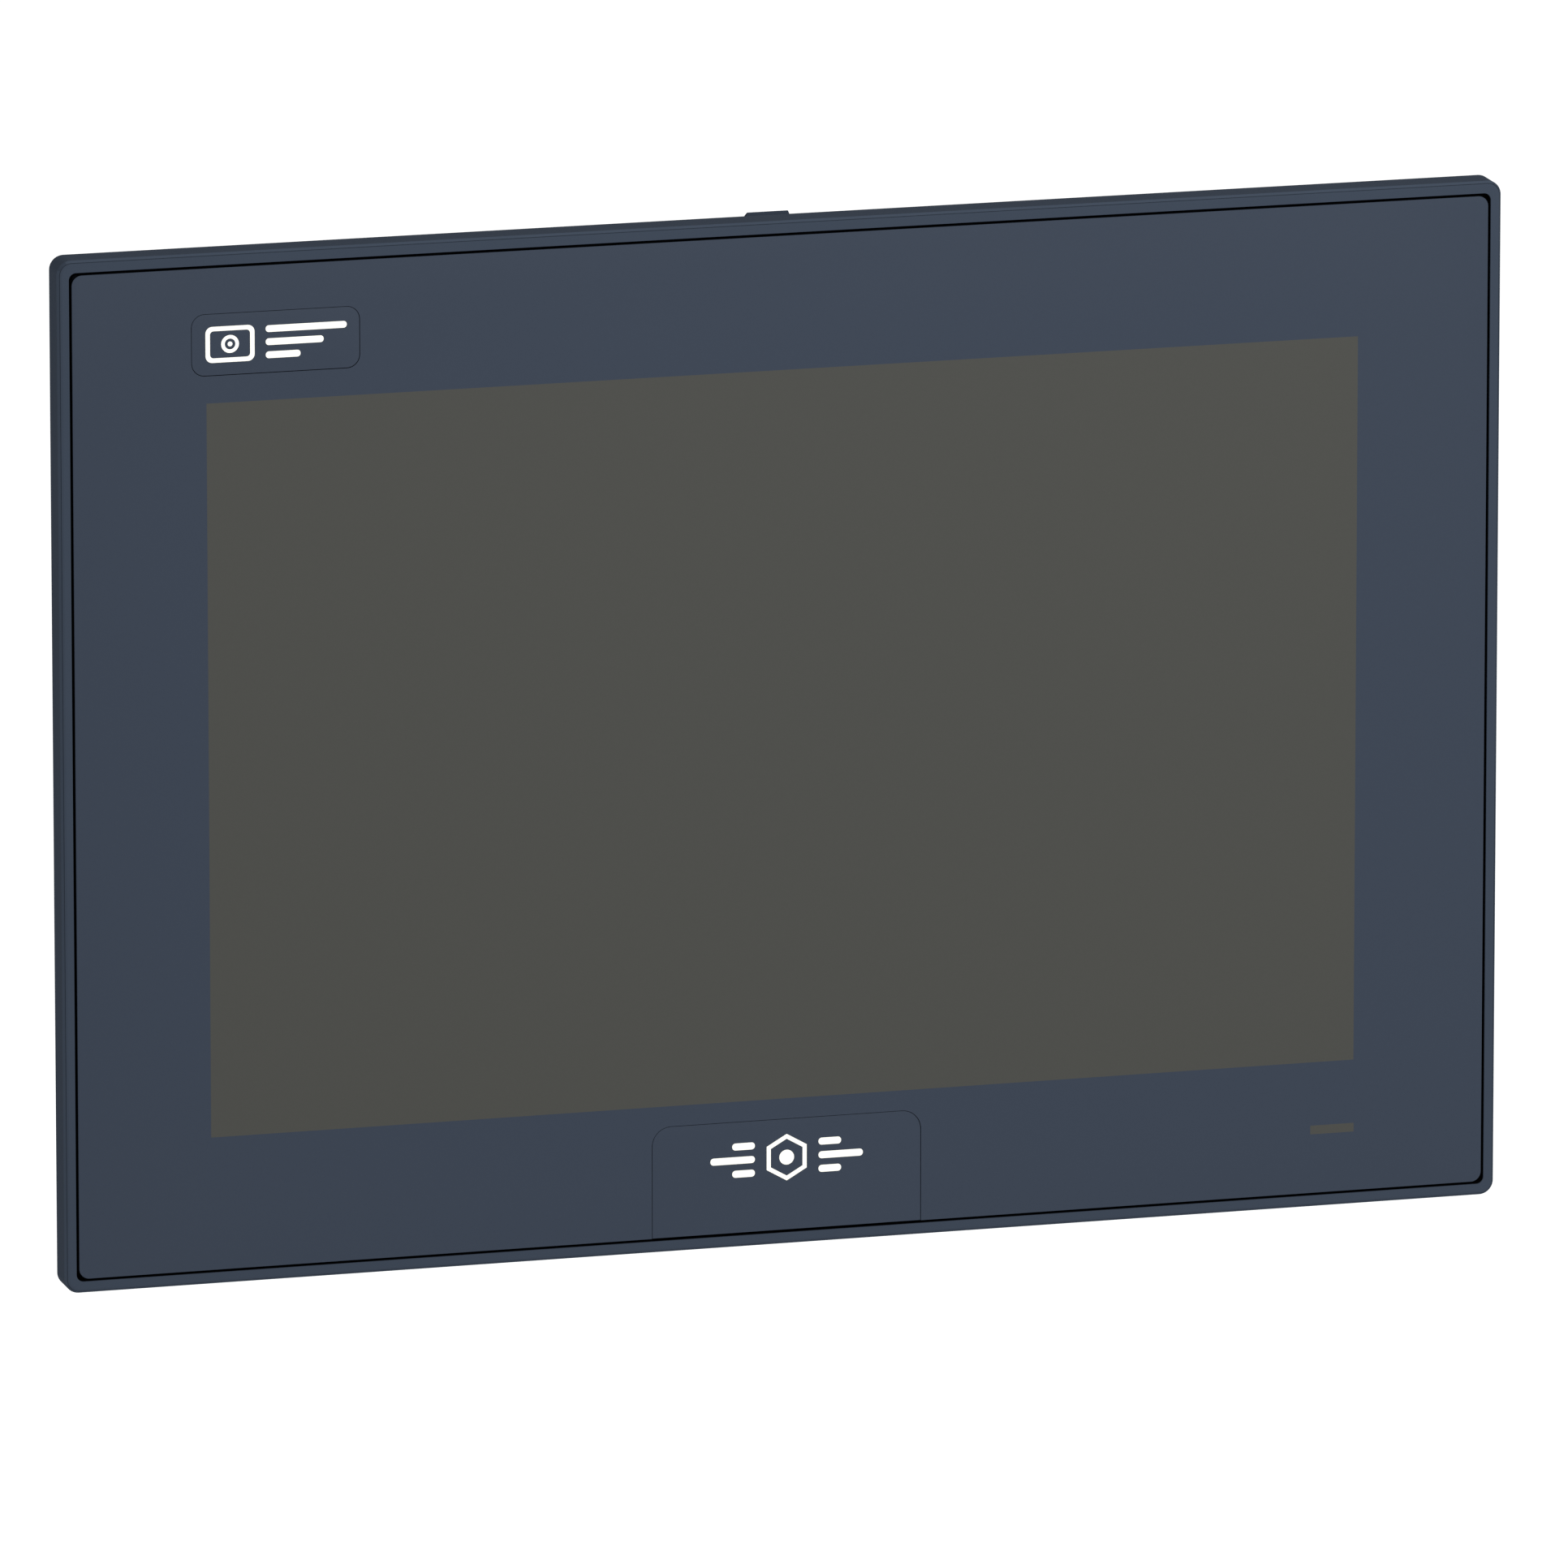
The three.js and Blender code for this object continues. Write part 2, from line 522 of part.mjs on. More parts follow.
function clampBlock({ sideX, sideZ }) {
  const { x, z, wall } = CLAMP_POCKET;
  const out = TRAY.halfZ - CLAMP.z;
  return box(
    fromPivot([x[0] - wall, x[1] + wall], CLAMP.x, sideX),
    [TRAY.y[0], TRAY_FLOOR + MERGE],
    fromPivot([z - wall, out - MERGE], CLAMP.z, sideZ),
  );
}

// A shallow tray behind the bezel: side wall, back wall with the opening for the
// electronics, four clamp pockets, the catch's well and the posts for the bezel's screws.
function trayHousing() {
  const inside = {
    halfX: TRAY.halfX - TRAY.wall,
    halfZ: TRAY.halfZ - TRAY.wall,
    corner: TRAY.corner - TRAY.wall,
  };
  const shell = cut(
    slab(centred(TRAY), TRAY.y),
    slab(centred(inside), [-OVERCUT, TRAY_FLOOR]),
    slab(rectangle(TRAY_OPENING.x, TRAY_OPENING.z, TRAY_OPENING.corner), beyond(TRAY.y)),
  );
  const posts = bossPlaces().map((place) =>
    rod("y", BOSS.radius, [BOSS.height + GAP, TRAY_FLOOR + MERGE], place),
  );
  const postHoles = bossPlaces().map((place) =>
    rod("y", BOSS_CLEARANCE, [0, TRAY.y[1] + OVERCUT], place),
  );
  const screwHoles = CLAMP_CORNERS.map(({ sideX, sideZ }) =>
    rod("y", CLAMP_HOLE, [0, TRAY.y[1] + OVERCUT], [sideX * CLAMP.x, sideZ * CLAMP.z]),
  );
  const wellBlock = box(
    around(0, CATCH_WELL.halfX + CATCH_WELL.wall),
    [CATCH_SLOT.y[0] - CATCH_WELL.wall, TRAY_FLOOR + MERGE],
    [CATCH_WELL.z - CATCH_WELL.wall, TRAY.halfZ - MERGE],
  );
  const earthHole = rod("y", EARTH.hole, beyond([TRAY_FLOOR, TRAY.y[1]]), [EARTH.x, EARTH.z]);
  return cut(
    join(shell, ...posts, ...CLAMP_CORNERS.map(clampBlock), wellBlock),
    ...CLAMP_CORNERS.map(clampPocket),
    ...screwHoles,
    ...postHoles,
    box(around(0, CATCH_SLOT.halfX), CATCH_SLOT.y, [CATCH_SLOT.z - MERGE, TRAY.halfZ + OVERCUT]),
    box(around(0, CATCH_WELL.halfX), CATCH_SLOT.y, [CATCH_WELL.z, CATCH_SLOT.z]),
    earthHole,
  );
}

// A wedge whose front face stands square to the cabinet wall and whose back ramps away,
// so that the cut-out's edge pushes it in and it springs out behind the wall.
function dropCatch() {
  const [front, back] = CATCH.y;
  const [low, top] = CATCH.z;
  const wedge = prism(
    [
      [front, low],
      [back, low],
      [back, CATCH_RAMP.low],
      [front + CATCH_RAMP.flat, top],
      [front, top],
    ],
    around(0, CATCH.halfWidth),
  );
  const ears = box(
    around(0, CATCH_EAR.halfWidth),
    CATCH.y,
    [low, low + CATCH_EAR.height],
  );
  const bore = rod("z", SPRING.bore, [low - OVERCUT, SPRING.z[1] + GAP], [0, SPRING.y]);
  const trims = [-1, 1].map((side) => catchCornerTrim(side));
  return cut(join(wedge, ears), bore, ...trims);
}

// The waste beside a slanted top corner of the catch, which ends a step above its top.
function catchCornerTrim(side) {
  const top = CATCH.z[1];
  const slope = (CATCH.halfWidth - CATCH.halfTop) / CATCH.chamfer;
  const shape = new THREE.Shape();
  shape.moveTo(side * (CATCH.halfTop - slope * MERGE), top + MERGE);
  shape.lineTo(side * (CATCH.halfWidth + OVERCUT), top + MERGE);
  shape.lineTo(side * (CATCH.halfWidth + OVERCUT), top - CATCH.chamfer);
  shape.lineTo(side * CATCH.halfWidth, top - CATCH.chamfer);
  return slab(shape, beyond(CATCH.y));
}

// A helix of round wire along Z.
class Helix extends THREE.Curve {
  getPoint(t, target = new THREE.Vector3()) {
    const turn = t * SPRING.turns * 2 * Math.PI;
    return target.set(
      SPRING.radius * Math.cos(turn),
      SPRING.y + SPRING.radius * Math.sin(turn),
      SPRING.z[0] + SPRING.wire + t * (span(SPRING.z) - 2 * SPRING.wire),
    );
  }
}

function catchSpring() {
  const section = new THREE.Shape().absarc(0, 0, SPRING.wire, 0, 2 * Math.PI);
  const geometry = new THREE.ExtrudeGeometry(section, {
    steps: SPRING.turns * SPRING_STEPS,
    curveSegments: WIRE_SEGMENTS,
    bevelEnabled: false,
    extrudePath: new Helix(),
  });
  return toSolid(geometry);
}

// ---------------------------------------------------------------- swing clamps
// Drawn about the pivot, with the arm stowed towards -X; it swings to +Z.

function clampArm() {
  const shape = rectangle([-ARM.length, 0], around(0, ARM.halfWidth), ARM.tip);
  const bar = slab(shape, ARM.y);
  const hub = rod("y", ARM.hub, ARM.y, [0, 0], ROUND_SIDES);
  const footRange = [-ARM.length, -ARM.length + ARM_FOOT.length];
  const foot = slab(
    rectangle(footRange, around(0, ARM.halfWidth), ARM_FOOT.corner),
    [ARM.y[0] - ARM_FOOT.height, ARM.y[0] + MERGE],
  );
  const bore = rod("y", ARM.bore, beyond(ARM.y), [0, 0], ROUND_SIDES);
  return cut(join(bar, hub, foot), bore);
}

function clampBush() {
  const [front, back] = BUSH.y;
  return turned([
    [BUSH.bore, front],
    [BUSH.sleeve, front],
    [BUSH.sleeve, back - BUSH.flangeHeight],
    [BUSH.flange, back - BUSH.flangeHeight],
    [BUSH.flange, back],
    [BUSH.bore, back],
    [BUSH.bore, front],
  ]);
}

// The two bars of a cross recess in a screw's head that ends at top.
function crossRecess({ reach, half, depth }, top) {
  const y = [top - depth, top + OVERCUT];
  return [
    box(around(0, reach), y, around(0, half)),
    box(around(0, half), y, around(0, reach)),
  ];
}

// A collar riveted on the tip keeps arm and bush on; the head stands clear of the tray
// by the clamp's travel.
function clampScrew() {
  const { shank, head, collar, collarY, headHeight } = CLAMP_SCREW;
  const top = CLAMP_HEAD + headHeight;
  const body = turned([
    [0, collarY[0]],
    [collar, collarY[0]],
    [collar, collarY[1]],
    [shank, collarY[1]],
    [shank, CLAMP_HEAD],
    [head, CLAMP_HEAD],
    [head, top - SCREW_CROWN],
    [head - SCREW_CROWN, top],
    [0, top],
  ]);
  return cut(body, ...crossRecess(CLAMP_RECESS, top));
}

// ---------------------------------------------------------------- electronics

// Sheet screwed to the tray's back wall from inside; its stand-offs carry the board.
function chassisPlate() {
  const plate = slab(rectangle(CHASSIS.x, CHASSIS.z, CHASSIS.corner), CHASSIS.y);
  const pillars = STANDOFF.x.flatMap((x) =>
    STANDOFF.z.map((z) =>
      rod(
        "y",
        STANDOFF.radius,
        [CHASSIS.y[1] - MERGE, BOARD.y[0] - GAP],
        [x, z],
        STANDOFF.sides,
      ),
    ),
  );
  const slots = [TAIL_PLUG, RIBBON_PLUG].map(({ x, z }) =>
    box(inset(x, -PLUG_SLOT_MARGIN), beyond(CHASSIS.y), inset(z, -PLUG_SLOT_MARGIN)),
  );
  return cut(join(plate, ...pillars), ...slots);
}

// The main board with its two display connectors in front and its larger parts behind.
function mainBoard() {
  const board = box(BOARD.x, BOARD.y, BOARD.z);
  const plugs = [TAIL_PLUG, RIBBON_PLUG].map(({ x, y, z }) => box(x, [y[0], y[1] + MERGE], z));
  const surface = BOARD.y[1] - MERGE;
  const capacitors = CAPACITORS.x.map((x) =>
    rod("y", CAPACITORS.radius, [surface, surface + CAPACITORS.height], [x, CAPACITORS.z]),
  );
  const blocks = BOARD_BLOCKS.flatMap(({ x, z, halfX, halfZ, height }) =>
    x.map((place) =>
      box(around(place, halfX), [surface, surface + height], around(z, halfZ)),
    ),
  );
  return join(board, ...plugs, ...capacitors, ...blocks);
}

function processorChip() {
  const { halfX, centreZ, height, lid, lidHeight } = PROCESSOR;
  const top = PART_LEVEL + height;
  return join(
    box(around(0, halfX), [PART_LEVEL, top - lidHeight], around(centreZ, halfX)),
    box(around(0, halfX - lid), [PART_LEVEL, top], around(centreZ, halfX - lid)),
  );
}

// A base inside the cover, a pedestal down to the processor, and fins that stand out
// through the window in the cover's back.
function finnedHeatsink() {
  const base = box(HEATSINK.x, HEATSINK.y, HEATSINK.z);
  const chipTop = PART_LEVEL + PROCESSOR.height;
  const pedestal = box(
    around(0, PEDESTAL.halfX),
    [chipTop + GAP, HEATSINK.y[0] + MERGE],
    PEDESTAL.z,
  );
  const fins = row(HEATSINK.fins, FIN.pitch).map((x) =>
    box(around(x, FIN.thickness / 2), [HEATSINK.y[1] - MERGE, HEATSINK.finTop], FIN.z),
  );
  return join(base, pedestal, ...fins);
}

function serviceBoard() {
  const board = box(SERVICE_BOARD.x, SERVICE_BOARD.y, SERVICE_BOARD.z);
  const post = box(SERVICE_POST.x, [PART_LEVEL, SERVICE_BOARD.y[0] + MERGE], SERVICE_POST.z);
  return join(board, post);
}

const dipPlaces = () => row(DIP.ways, DIP.pitch, DIP.x);

function dipSwitchBody() {
  const top = SERVICE_LEVEL + DIP.height;
  const body = box(
    around(DIP.x, DIP.halfX),
    [SERVICE_LEVEL, top],
    around(DIP.z, DIP.halfZ),
  );
  const slots = dipPlaces().map((x) =>
    box(
      around(x, DIP_SLOT.halfX),
      [top - DIP_SLOT.depth, top + OVERCUT],
      around(DIP.z, DIP_SLOT.halfZ),
    ),
  );
  return cut(body, ...slots);
}

function dipSlider(x) {
  const top = SERVICE_LEVEL + DIP.height;
  return box(
    around(x, DIP_SLIDER.halfX),
    [top - DIP_SLOT.depth + GAP, top + DIP_SLIDER.proud],
    DIP_SLIDER.z.map((z) => z + DIP.z),
  );
}

// A round cup, open to the door, with a finger gap in its rim.
function batteryHolder() {
  const centre = [BATTERY.x, BATTERY.z];
  const y = [SERVICE_LEVEL, SERVICE_LEVEL + HOLDER.height];
  const hollow = BATTERY.radius + HOLDER.clearance;
  return cut(
    rod("y", HOLDER.radius, y, centre, ROUND_SIDES),
    rod("y", hollow, [y[0] + HOLDER.floor, y[1] + OVERCUT], centre, ROUND_SIDES),
    box(
      [BATTERY.x - HOLDER.radius - OVERCUT, BATTERY.x],
      [y[0] + HOLDER.floor, y[1] + OVERCUT],
      around(BATTERY.z, HOLDER.fingerHalf),
    ),
  );
}

function coinBattery() {
  const { x, z, radius, thickness, lid, lidHeight } = BATTERY;
  const can = turned([
    [0, 0],
    [lid, 0],
    [lid, lidHeight],
    [radius, lidHeight],
    [radius, thickness],
    [0, thickness],
  ]);
  return can.translate([x, SERVICE_LEVEL + HOLDER.floor + GAP, z]);
}

// ---------------------------------------------------------------- rear cover

// The holes in the cover's lower wall, one for each connector.
function portHoles() {
  const z = [COVER.z[0] - OVERCUT, COVER.z[0] + COVER.wall + OVERCUT];
  const hole = (x, halfX, y) =>
    box(around(x, halfX + PORT_GAP), [y[0] - PORT_GAP, y[1] + PORT_GAP], z);
  const shellReach = SERIAL_SHELL.wide + SERIAL_SHELL.wall;
  const shellY = around(middle(SERIAL.y), SERIAL_SHELL.half + SERIAL_SHELL.wall);
  return [
    hole(INLET.x, INLET.halfX, INLET.y),
    hole(SERIAL.x, shellReach, shellY),
    hole(LAN.x, LAN.halfX, LAN.y),
    hole(USB.x, USB.halfX, USB.y),
    rod("z", RESET.hole, z, [RESET.x, RESET.y], ROUND_SIDES),
  ];
}

function coverVents() {
  const top = [COVER.z[1] - COVER.wall - OVERCUT, COVER.z[1] + OVERCUT];
  const bottom = [COVER.z[0] - OVERCUT, COVER.z[0] + COVER.wall + OVERCUT];
  const slot = (x, z) => box(around(x, VENT.width / 2), VENT.y, z);
  return [
    ...row(VENT.count, VENT.pitch).map((x) => slot(x, top)),
    ...VENTS_BELOW.map((x) => slot(x, bottom)),
  ];
}

function cardSlot() {
  const wall = [COVER.x[1] - COVER.wall - OVERCUT, COVER.x[1] + OVERCUT];
  const { margin, thumb, thumbY } = CARD_SLOT;
  return join(
    box(wall, [CARD.y[0] - margin, CARD.y[1] + margin], [CARD.z[0] - margin, CARD.z[1] + margin]),
    box(wall, thumbY, thumb),
  );
}

// The knuckles at the two ends of the door's hinge, each on a foot on the cover.
function hingeKnuckles() {
  const [low, high] = DOOR.z;
  return [
    [low, low + HINGE.knuckle],
    [high - HINGE.knuckle, high],
  ].map((z) =>
    join(
      rod("z", HINGE.radius, z, [HINGE.x, HINGE.y], ROUND_SIDES),
      box(around(HINGE.x, HINGE.radius), [COVER.y[1] - MERGE, HINGE.y], z),
    ),
  );
}

function rearCover() {
  const outline = rectangle(COVER.x, COVER.z, COVER.corner);
  const body = edgedSlab(outline, COVER.y, COVER.edge, "back");
  const lipY = [COVER.y[0], COVER.y[0] + COVER_LIP.height];
  const lip = slab(
    rectangle(
      inset(COVER.x, -COVER_LIP.width),
      inset(COVER.z, -COVER_LIP.width),
      COVER.corner,
    ),
    lipY,
  );
  const earPlaces = [-1, 1].flatMap((side) =>
    COVER_EAR.z.map((z) => [side * COVER_EAR.x, z]),
  );
  const ears = earPlaces.map((place) => rod("y", COVER_EAR.radius, lipY, place, ROUND_SIDES));
  const earHoles = earPlaces.map((place) => rod("y", COVER_EAR.hole, beyond(lipY), place));
  const hollow = slab(
    rectangle(
      inset(COVER.x, COVER.wall),
      inset(COVER.z, COVER.wall),
      COVER.corner - COVER.wall,
    ),
    [COVER.y[0] - OVERCUT, COVER_INNER],
  );
  const backWall = beyond([COVER_INNER, COVER.y[1]]);
  const bayWall = [COVER_INNER - OVERCUT, COVER.y[1] + MERGE];
  return cut(
    join(body, lip, ...ears, ...hingeKnuckles()),
    hollow,
    slab(rectangle(SINK_WINDOW.x, SINK_WINDOW.z, SINK_WINDOW.corner), backWall),
    slab(rectangle(BAY_WINDOW.x, BAY_WINDOW.z, BAY_WINDOW.corner), bayWall),
    rod("z", HINGE.bore, beyond(DOOR.z), [HINGE.x, HINGE.y]),
    ...earHoles,
    ...portHoles(),
    ...coverVents(),
    cardSlot(),
  );
}

// Door plate, barrel between the cover's knuckles and a lip for a fingertip.
function serviceDoor() {
  const plate = slab(rectangle(DOOR.x, DOOR.z, DOOR.corner), DOOR.y);
  const barrelZ = inset(DOOR.z, HINGE.knuckle + GAP);
  const barrel = rod("z", HINGE.radius, barrelZ, [HINGE.x, HINGE.y], ROUND_SIDES);
  const web = box([DOOR.x[1] - MERGE, HINGE.x - HINGE.bore], DOOR.y, barrelZ);
  const grip = box([DOOR_GRIP.x[0], DOOR_GRIP.x[1] + MERGE], DOOR.y, DOOR_GRIP.z);
  const bore = rod("z", HINGE.bore, beyond(DOOR.z), [HINGE.x, HINGE.y]);
  return cut(join(plate, barrel, web, grip), bore);
}

const doorHingePin = () =>
  rod("z", HINGE_PIN.radius, inset(DOOR.z, -HINGE_PIN.proud), [HINGE.x, HINGE.y]);

function ratingPlate() {
  const front = COVER.y[1] + GAP;
  return slab(rectangle(PLATE.x, PLATE.z, PLATE.corner), [front, front + PLATE.thickness]);
}

// ---------------------------------------------------------------- connectors

const contactPlaces = () => row(TERMINAL.poles, TERMINAL.pitch, INLET.x);
const contactLevel = middle(PLUG_TONGUE.y);

// A three-pole header: a socket open downwards with three square pins.
function powerInlet() {
  const shell = box(around(INLET.x, INLET.halfX), INLET.y, [PORT_FACE, INLET.back]);
  const socket = box(
    around(INLET.x, INLET.halfX - INLET.wall),
    inset(INLET.y, INLET.wall),
    [PORT_FACE - OVERCUT, INLET.floor],
  );
  const pins = contactPlaces().map((x) =>
    box(
      around(x, CONTACT.half),
      around(contactLevel, CONTACT.half),
      [CONTACT.tip, INLET.floor + MERGE],
    ),
  );
  const legs = box(
    around(INLET.x, INLET.halfX - INLET_LEG.inset),
    [PART_LEVEL, INLET.y[0] + MERGE],
    [INLET.back - INLET_LEG.length, INLET.back],
  );
  return join(cut(shell, socket), ...pins, legs);
}

// The plug: a tongue in the socket, a body with wire holes below and screws behind.
function powerPlug() {
  const tongue = box(
    around(INLET.x, PLUG_TONGUE.halfX),
    PLUG_TONGUE.y,
    [PLUG_BODY.z[1] - MERGE, PLUG_TONGUE.top],
  );
  const body = box(around(INLET.x, PLUG_BODY.halfX), PLUG_BODY.y, PLUG_BODY.z);
  const holes = contactPlaces().flatMap((x) => [
    box(
      around(x, CONTACT.hole),
      around(contactLevel, CONTACT.hole),
      [CONTACT.holeEnd, PLUG_TONGUE.top + OVERCUT],
    ),
    rod("z", WIRE_HOLE.radius, [PLUG_BODY.z[0] - OVERCUT, WIRE_HOLE.end], [x, WIRE_HOLE.y]),
    rod(
      "y",
      TERMINAL.well,
      [TERMINAL.screwY[0] - GAP, PLUG_BODY.y[1] + OVERCUT],
      [x, TERMINAL.z],
    ),
  ]);
  return cut(join(tongue, body), ...holes);
}

function terminalScrew(x) {
  const top = TERMINAL.screwY[1];
  const slot = box(
    beyond(around(x, TERMINAL.screw)),
    [top - TERMINAL_SLOT.depth, top + OVERCUT],
    around(TERMINAL.z, TERMINAL_SLOT.half),
  );
  return cut(rod("y", TERMINAL.screw, TERMINAL.screwY, [x, TERMINAL.z]), slot);
}

// The outline of the serial connector's shell, wider on one side, in (x, y).
function serialOutline(grow) {
  const { wide, narrow, half } = SERIAL_SHELL;
  const centre = middle(SERIAL.y);
  const shape = new THREE.Shape();
  shape.moveTo(SERIAL.x - narrow - grow, centre - half - grow);
  shape.lineTo(SERIAL.x + narrow + grow, centre - half - grow);
  shape.lineTo(SERIAL.x + wide + grow, centre + half + grow);
  shape.lineTo(SERIAL.x - wide - grow, centre + half + grow);
  return shape;
}

function along(shape, z) {
  const geometry = new THREE.ExtrudeGeometry(shape, { depth: span(z), bevelEnabled: false });
  geometry.translate(0, 0, z[0]);
  return toSolid(geometry);
}

// A nine-pole serial port: the flange is inside the cover and the shell stands out of it.
function serialPort() {
  const inner = COVER.z[0] + COVER.wall + GAP;
  const flange = box(
    around(SERIAL.x, SERIAL.halfX),
    SERIAL.y,
    [inner, inner + SERIAL.depth],
  );
  const mouth = COVER.z[0] - SERIAL_SHELL.proud + COVER.wall;
  const shell = along(serialOutline(SERIAL_SHELL.wall), [mouth, inner + MERGE]);
  const hollow = along(serialOutline(0), [mouth - OVERCUT, mouth + SERIAL_SHELL.depth]);
  const insulator = box(
    around(SERIAL.x, SERIAL_SHELL.wide),
    [PART_LEVEL + SERIAL_INSERT.above, SERIAL.y[1] - SERIAL_INSERT.below],
    [inner, SERIAL.back],
  );
  const { count, pitch, radius, sides, off, sunk } = SERIAL_PINS;
  const pinZ = [mouth + sunk, mouth + SERIAL_SHELL.depth + MERGE];
  const pins = row(count, pitch, SERIAL.x).map((x) =>
    rod("z", radius, pinZ, [x, middle(SERIAL.y) + off], sides),
  );
  return join(cut(join(flange, shell), hollow), insulator, ...pins);
}

// Two network jacks side by side in one shielded block.
function networkPorts() {
  const block = box(around(LAN.x, LAN.halfX), LAN.y, [PORT_FACE, LAN.back]);
  const hollows = row(LAN.jacks, LAN.pitch, LAN.x).flatMap((x) => {
    const z = [PORT_FACE - OVERCUT, PORT_FACE + LAN_JACK.depth];
    const latch = [LAN_JACK.latch[0] - MERGE, LAN_JACK.latch[1]];
    return [
      box(around(x, LAN_JACK.halfX), LAN_JACK.y, z),
      box(around(x, LAN_JACK.latchHalf), latch, z),
    ];
  });
  return cut(block, ...hollows);
}

// Two serial bus sockets, one above the other, each with its tongue.
function usbPorts() {
  const block = box(around(USB.x, USB.halfX), USB.y, [PORT_FACE, USB.back]);
  const floor = PORT_FACE + USB.depth;
  const hollows = USB.levels.map((y) =>
    box(
      around(USB.x, USB_SOCKET.halfX),
      around(y, USB_SOCKET.half),
      [PORT_FACE - OVERCUT, floor],
    ),
  );
  const tongues = USB.levels.map((y) =>
    box(
      around(USB.x, USB_SOCKET.tongueHalfX),
      [y, y + USB_SOCKET.tongue],
      [PORT_FACE + USB_SOCKET.sunk, floor + MERGE],
    ),
  );
  return join(cut(block, ...hollows), ...tongues);
}

// The button: a tip in the wall's hole, a collar behind it and a stem in the switch.
function resetButton() {
  const place = [RESET.x, RESET.y];
  const { tip, shoulder, collar, stem } = RESET_Z;
  return join(
    rod("z", RESET.shaft, [tip, shoulder + MERGE], place, ROUND_SIDES),
    rod("z", RESET.collar, [shoulder, collar], place, ROUND_SIDES),
    rod("z", RESET.stem, [collar - MERGE, stem], place),
  );
}

function resetSwitch() {
  const { half, z, bore, boreEnd, leg } = RESET_SWITCH;
  const body = box(around(RESET.x, half), around(RESET.y, half), z);
  const foot = box(around(RESET.x, half), [PART_LEVEL, RESET.y], [z[1] - leg, z[1]]);
  const well = rod("z", bore, [z[0] - OVERCUT, boreEnd], [RESET.x, RESET.y]);
  return cut(join(body, foot), well);
}

function cardSocket() {
  const shell = box(CARD_SOCKET.x, CARD_SOCKET.y, CARD_SOCKET.z);
  const hollow = box(
    [CARD.x[0] - GAP, CARD_SOCKET.x[1] + OVERCUT],
    [CARD.y[0] - GAP, CARD.y[1] + GAP],
    [CARD.z[0] - GAP, CARD.z[1] + GAP],
  );
  return cut(shell, hollow);
}

// One inner corner of the card is cut off, so that it goes in only one way.
function memoryCard() {
  const shape = new THREE.Shape();
  const [inner, outer] = CARD.x;
  const [low, high] = CARD.z;
  shape.moveTo(inner + CARD.notch, low);
  shape.lineTo(outer, low);
  shape.lineTo(outer, high);
  shape.lineTo(inner, high);
  shape.lineTo(inner, low + CARD.notch);
  return slab(shape, CARD.y);
}

// Screw and captive washer on the tray's back wall, for the cabinet's earth lead.
function earthScrew() {
  const { x, z, shank, head, length } = EARTH;
  const wall = TRAY.y[1] + GAP;
  const washer = wall + EARTH_TOP.washer;
  const top = washer + EARTH_TOP.head;
  const body = turned([
    [0, wall - length],
    [shank, wall - length],
    [shank, wall],
    [EARTH.washer, wall],
    [EARTH.washer, washer],
    [head, washer],
    [head, top - SCREW_CROWN],
    [head - SCREW_CROWN, top],
    [0, top],
  ]);
  return cut(body, ...crossRecess(EARTH_RECESS, top)).translate([x, 0, z]);
}

// ---------------------------------------------------------------- materials

const finish = (color, roughness, metalness = 0) =>
  new THREE.MeshStandardMaterial({ color, roughness, metalness });

const MATERIAL = {
  bezel: finish(0x404856, 0.5),
  film: finish(0x3f4855, 0.55),
  label: finish(0x3f4855, 0.5),
  housing: finish(0x33383f, 0.6),
  rubber: finish(0x1b1c1e, 0.9),
  foam: finish(0x2a2a2b, 0.95),
  glass: finish(0x4e4f4a, 0.15),
  clear: finish(0xb9bcb8, 0.2),
  steel: finish(0x9a9c9f, 0.35, 1),
  zinc: finish(0xb3b6ba, 0.3, 1),
  brass: finish(0xb08d4f, 0.35, 1),
  aluminium: finish(0xb5b7ba, 0.4, 1),
  board: finish(0x1f4d33, 0.5),
  black: finish(0x202123, 0.55),
  chip: finish(0x2b2c2f, 0.45),
  flex: finish(0xa86b26, 0.45),
  terminal: finish(0x2f7d4a, 0.5),
  white: finish(0xe4e2da, 0.5),
  red: finish(0xa62a2a, 0.5),
  paper: finish(0xc9cbcc, 0.4),
};

// ---------------------------------------------------------------- assembly

const panel = new THREE.Group();

// Adds the meshes of one part of the panel to it; each piece is [name, solid, material].
function section(pieces) {
  const group = new THREE.Group();
  for (const [name, solid, material] of pieces) {
    const mesh = new THREE.Mesh(toGeometry(solid), material);
    mesh.name = name;
    group.add(mesh);
  }
  panel.add(group);
  return group;
}

section([
  ["front_bezel", frontBezel(), MATERIAL.bezel],
  ["front_overlay", frontFilm(), MATERIAL.film],
  ["badge_label", badgeLabel(), MATERIAL.label],
  ["logo_label", logoLabel(), MATERIAL.label],
  ["panel_gasket", panelGasket(), MATERIAL.rubber],
  ["status_light_pipe", statusLightPipe(), MATERIAL.clear],
  ["status_light_board", statusLightBoard(), MATERIAL.board],
]);

section([
  ["touch_sensor", touchSensor(), MATERIAL.glass],
  ["touch_flex_tail", touchFlexTail(), MATERIAL.flex],
  ["display_gasket", displayGasket(), MATERIAL.foam],
  ["display_frame", displayFrame(), MATERIAL.steel],
  ["display_glass", displayCore(GLASS_Y), MATERIAL.glass],
  ["backlight_unit", backlightUnit(), MATERIAL.white],
  ["display_bracket_left", displayBracket(-1), MATERIAL.zinc],
  ["display_bracket_right", displayBracket(1), MATERIAL.zinc],
  ["display_ribbon", displayRibbon(), MATERIAL.flex],
]);

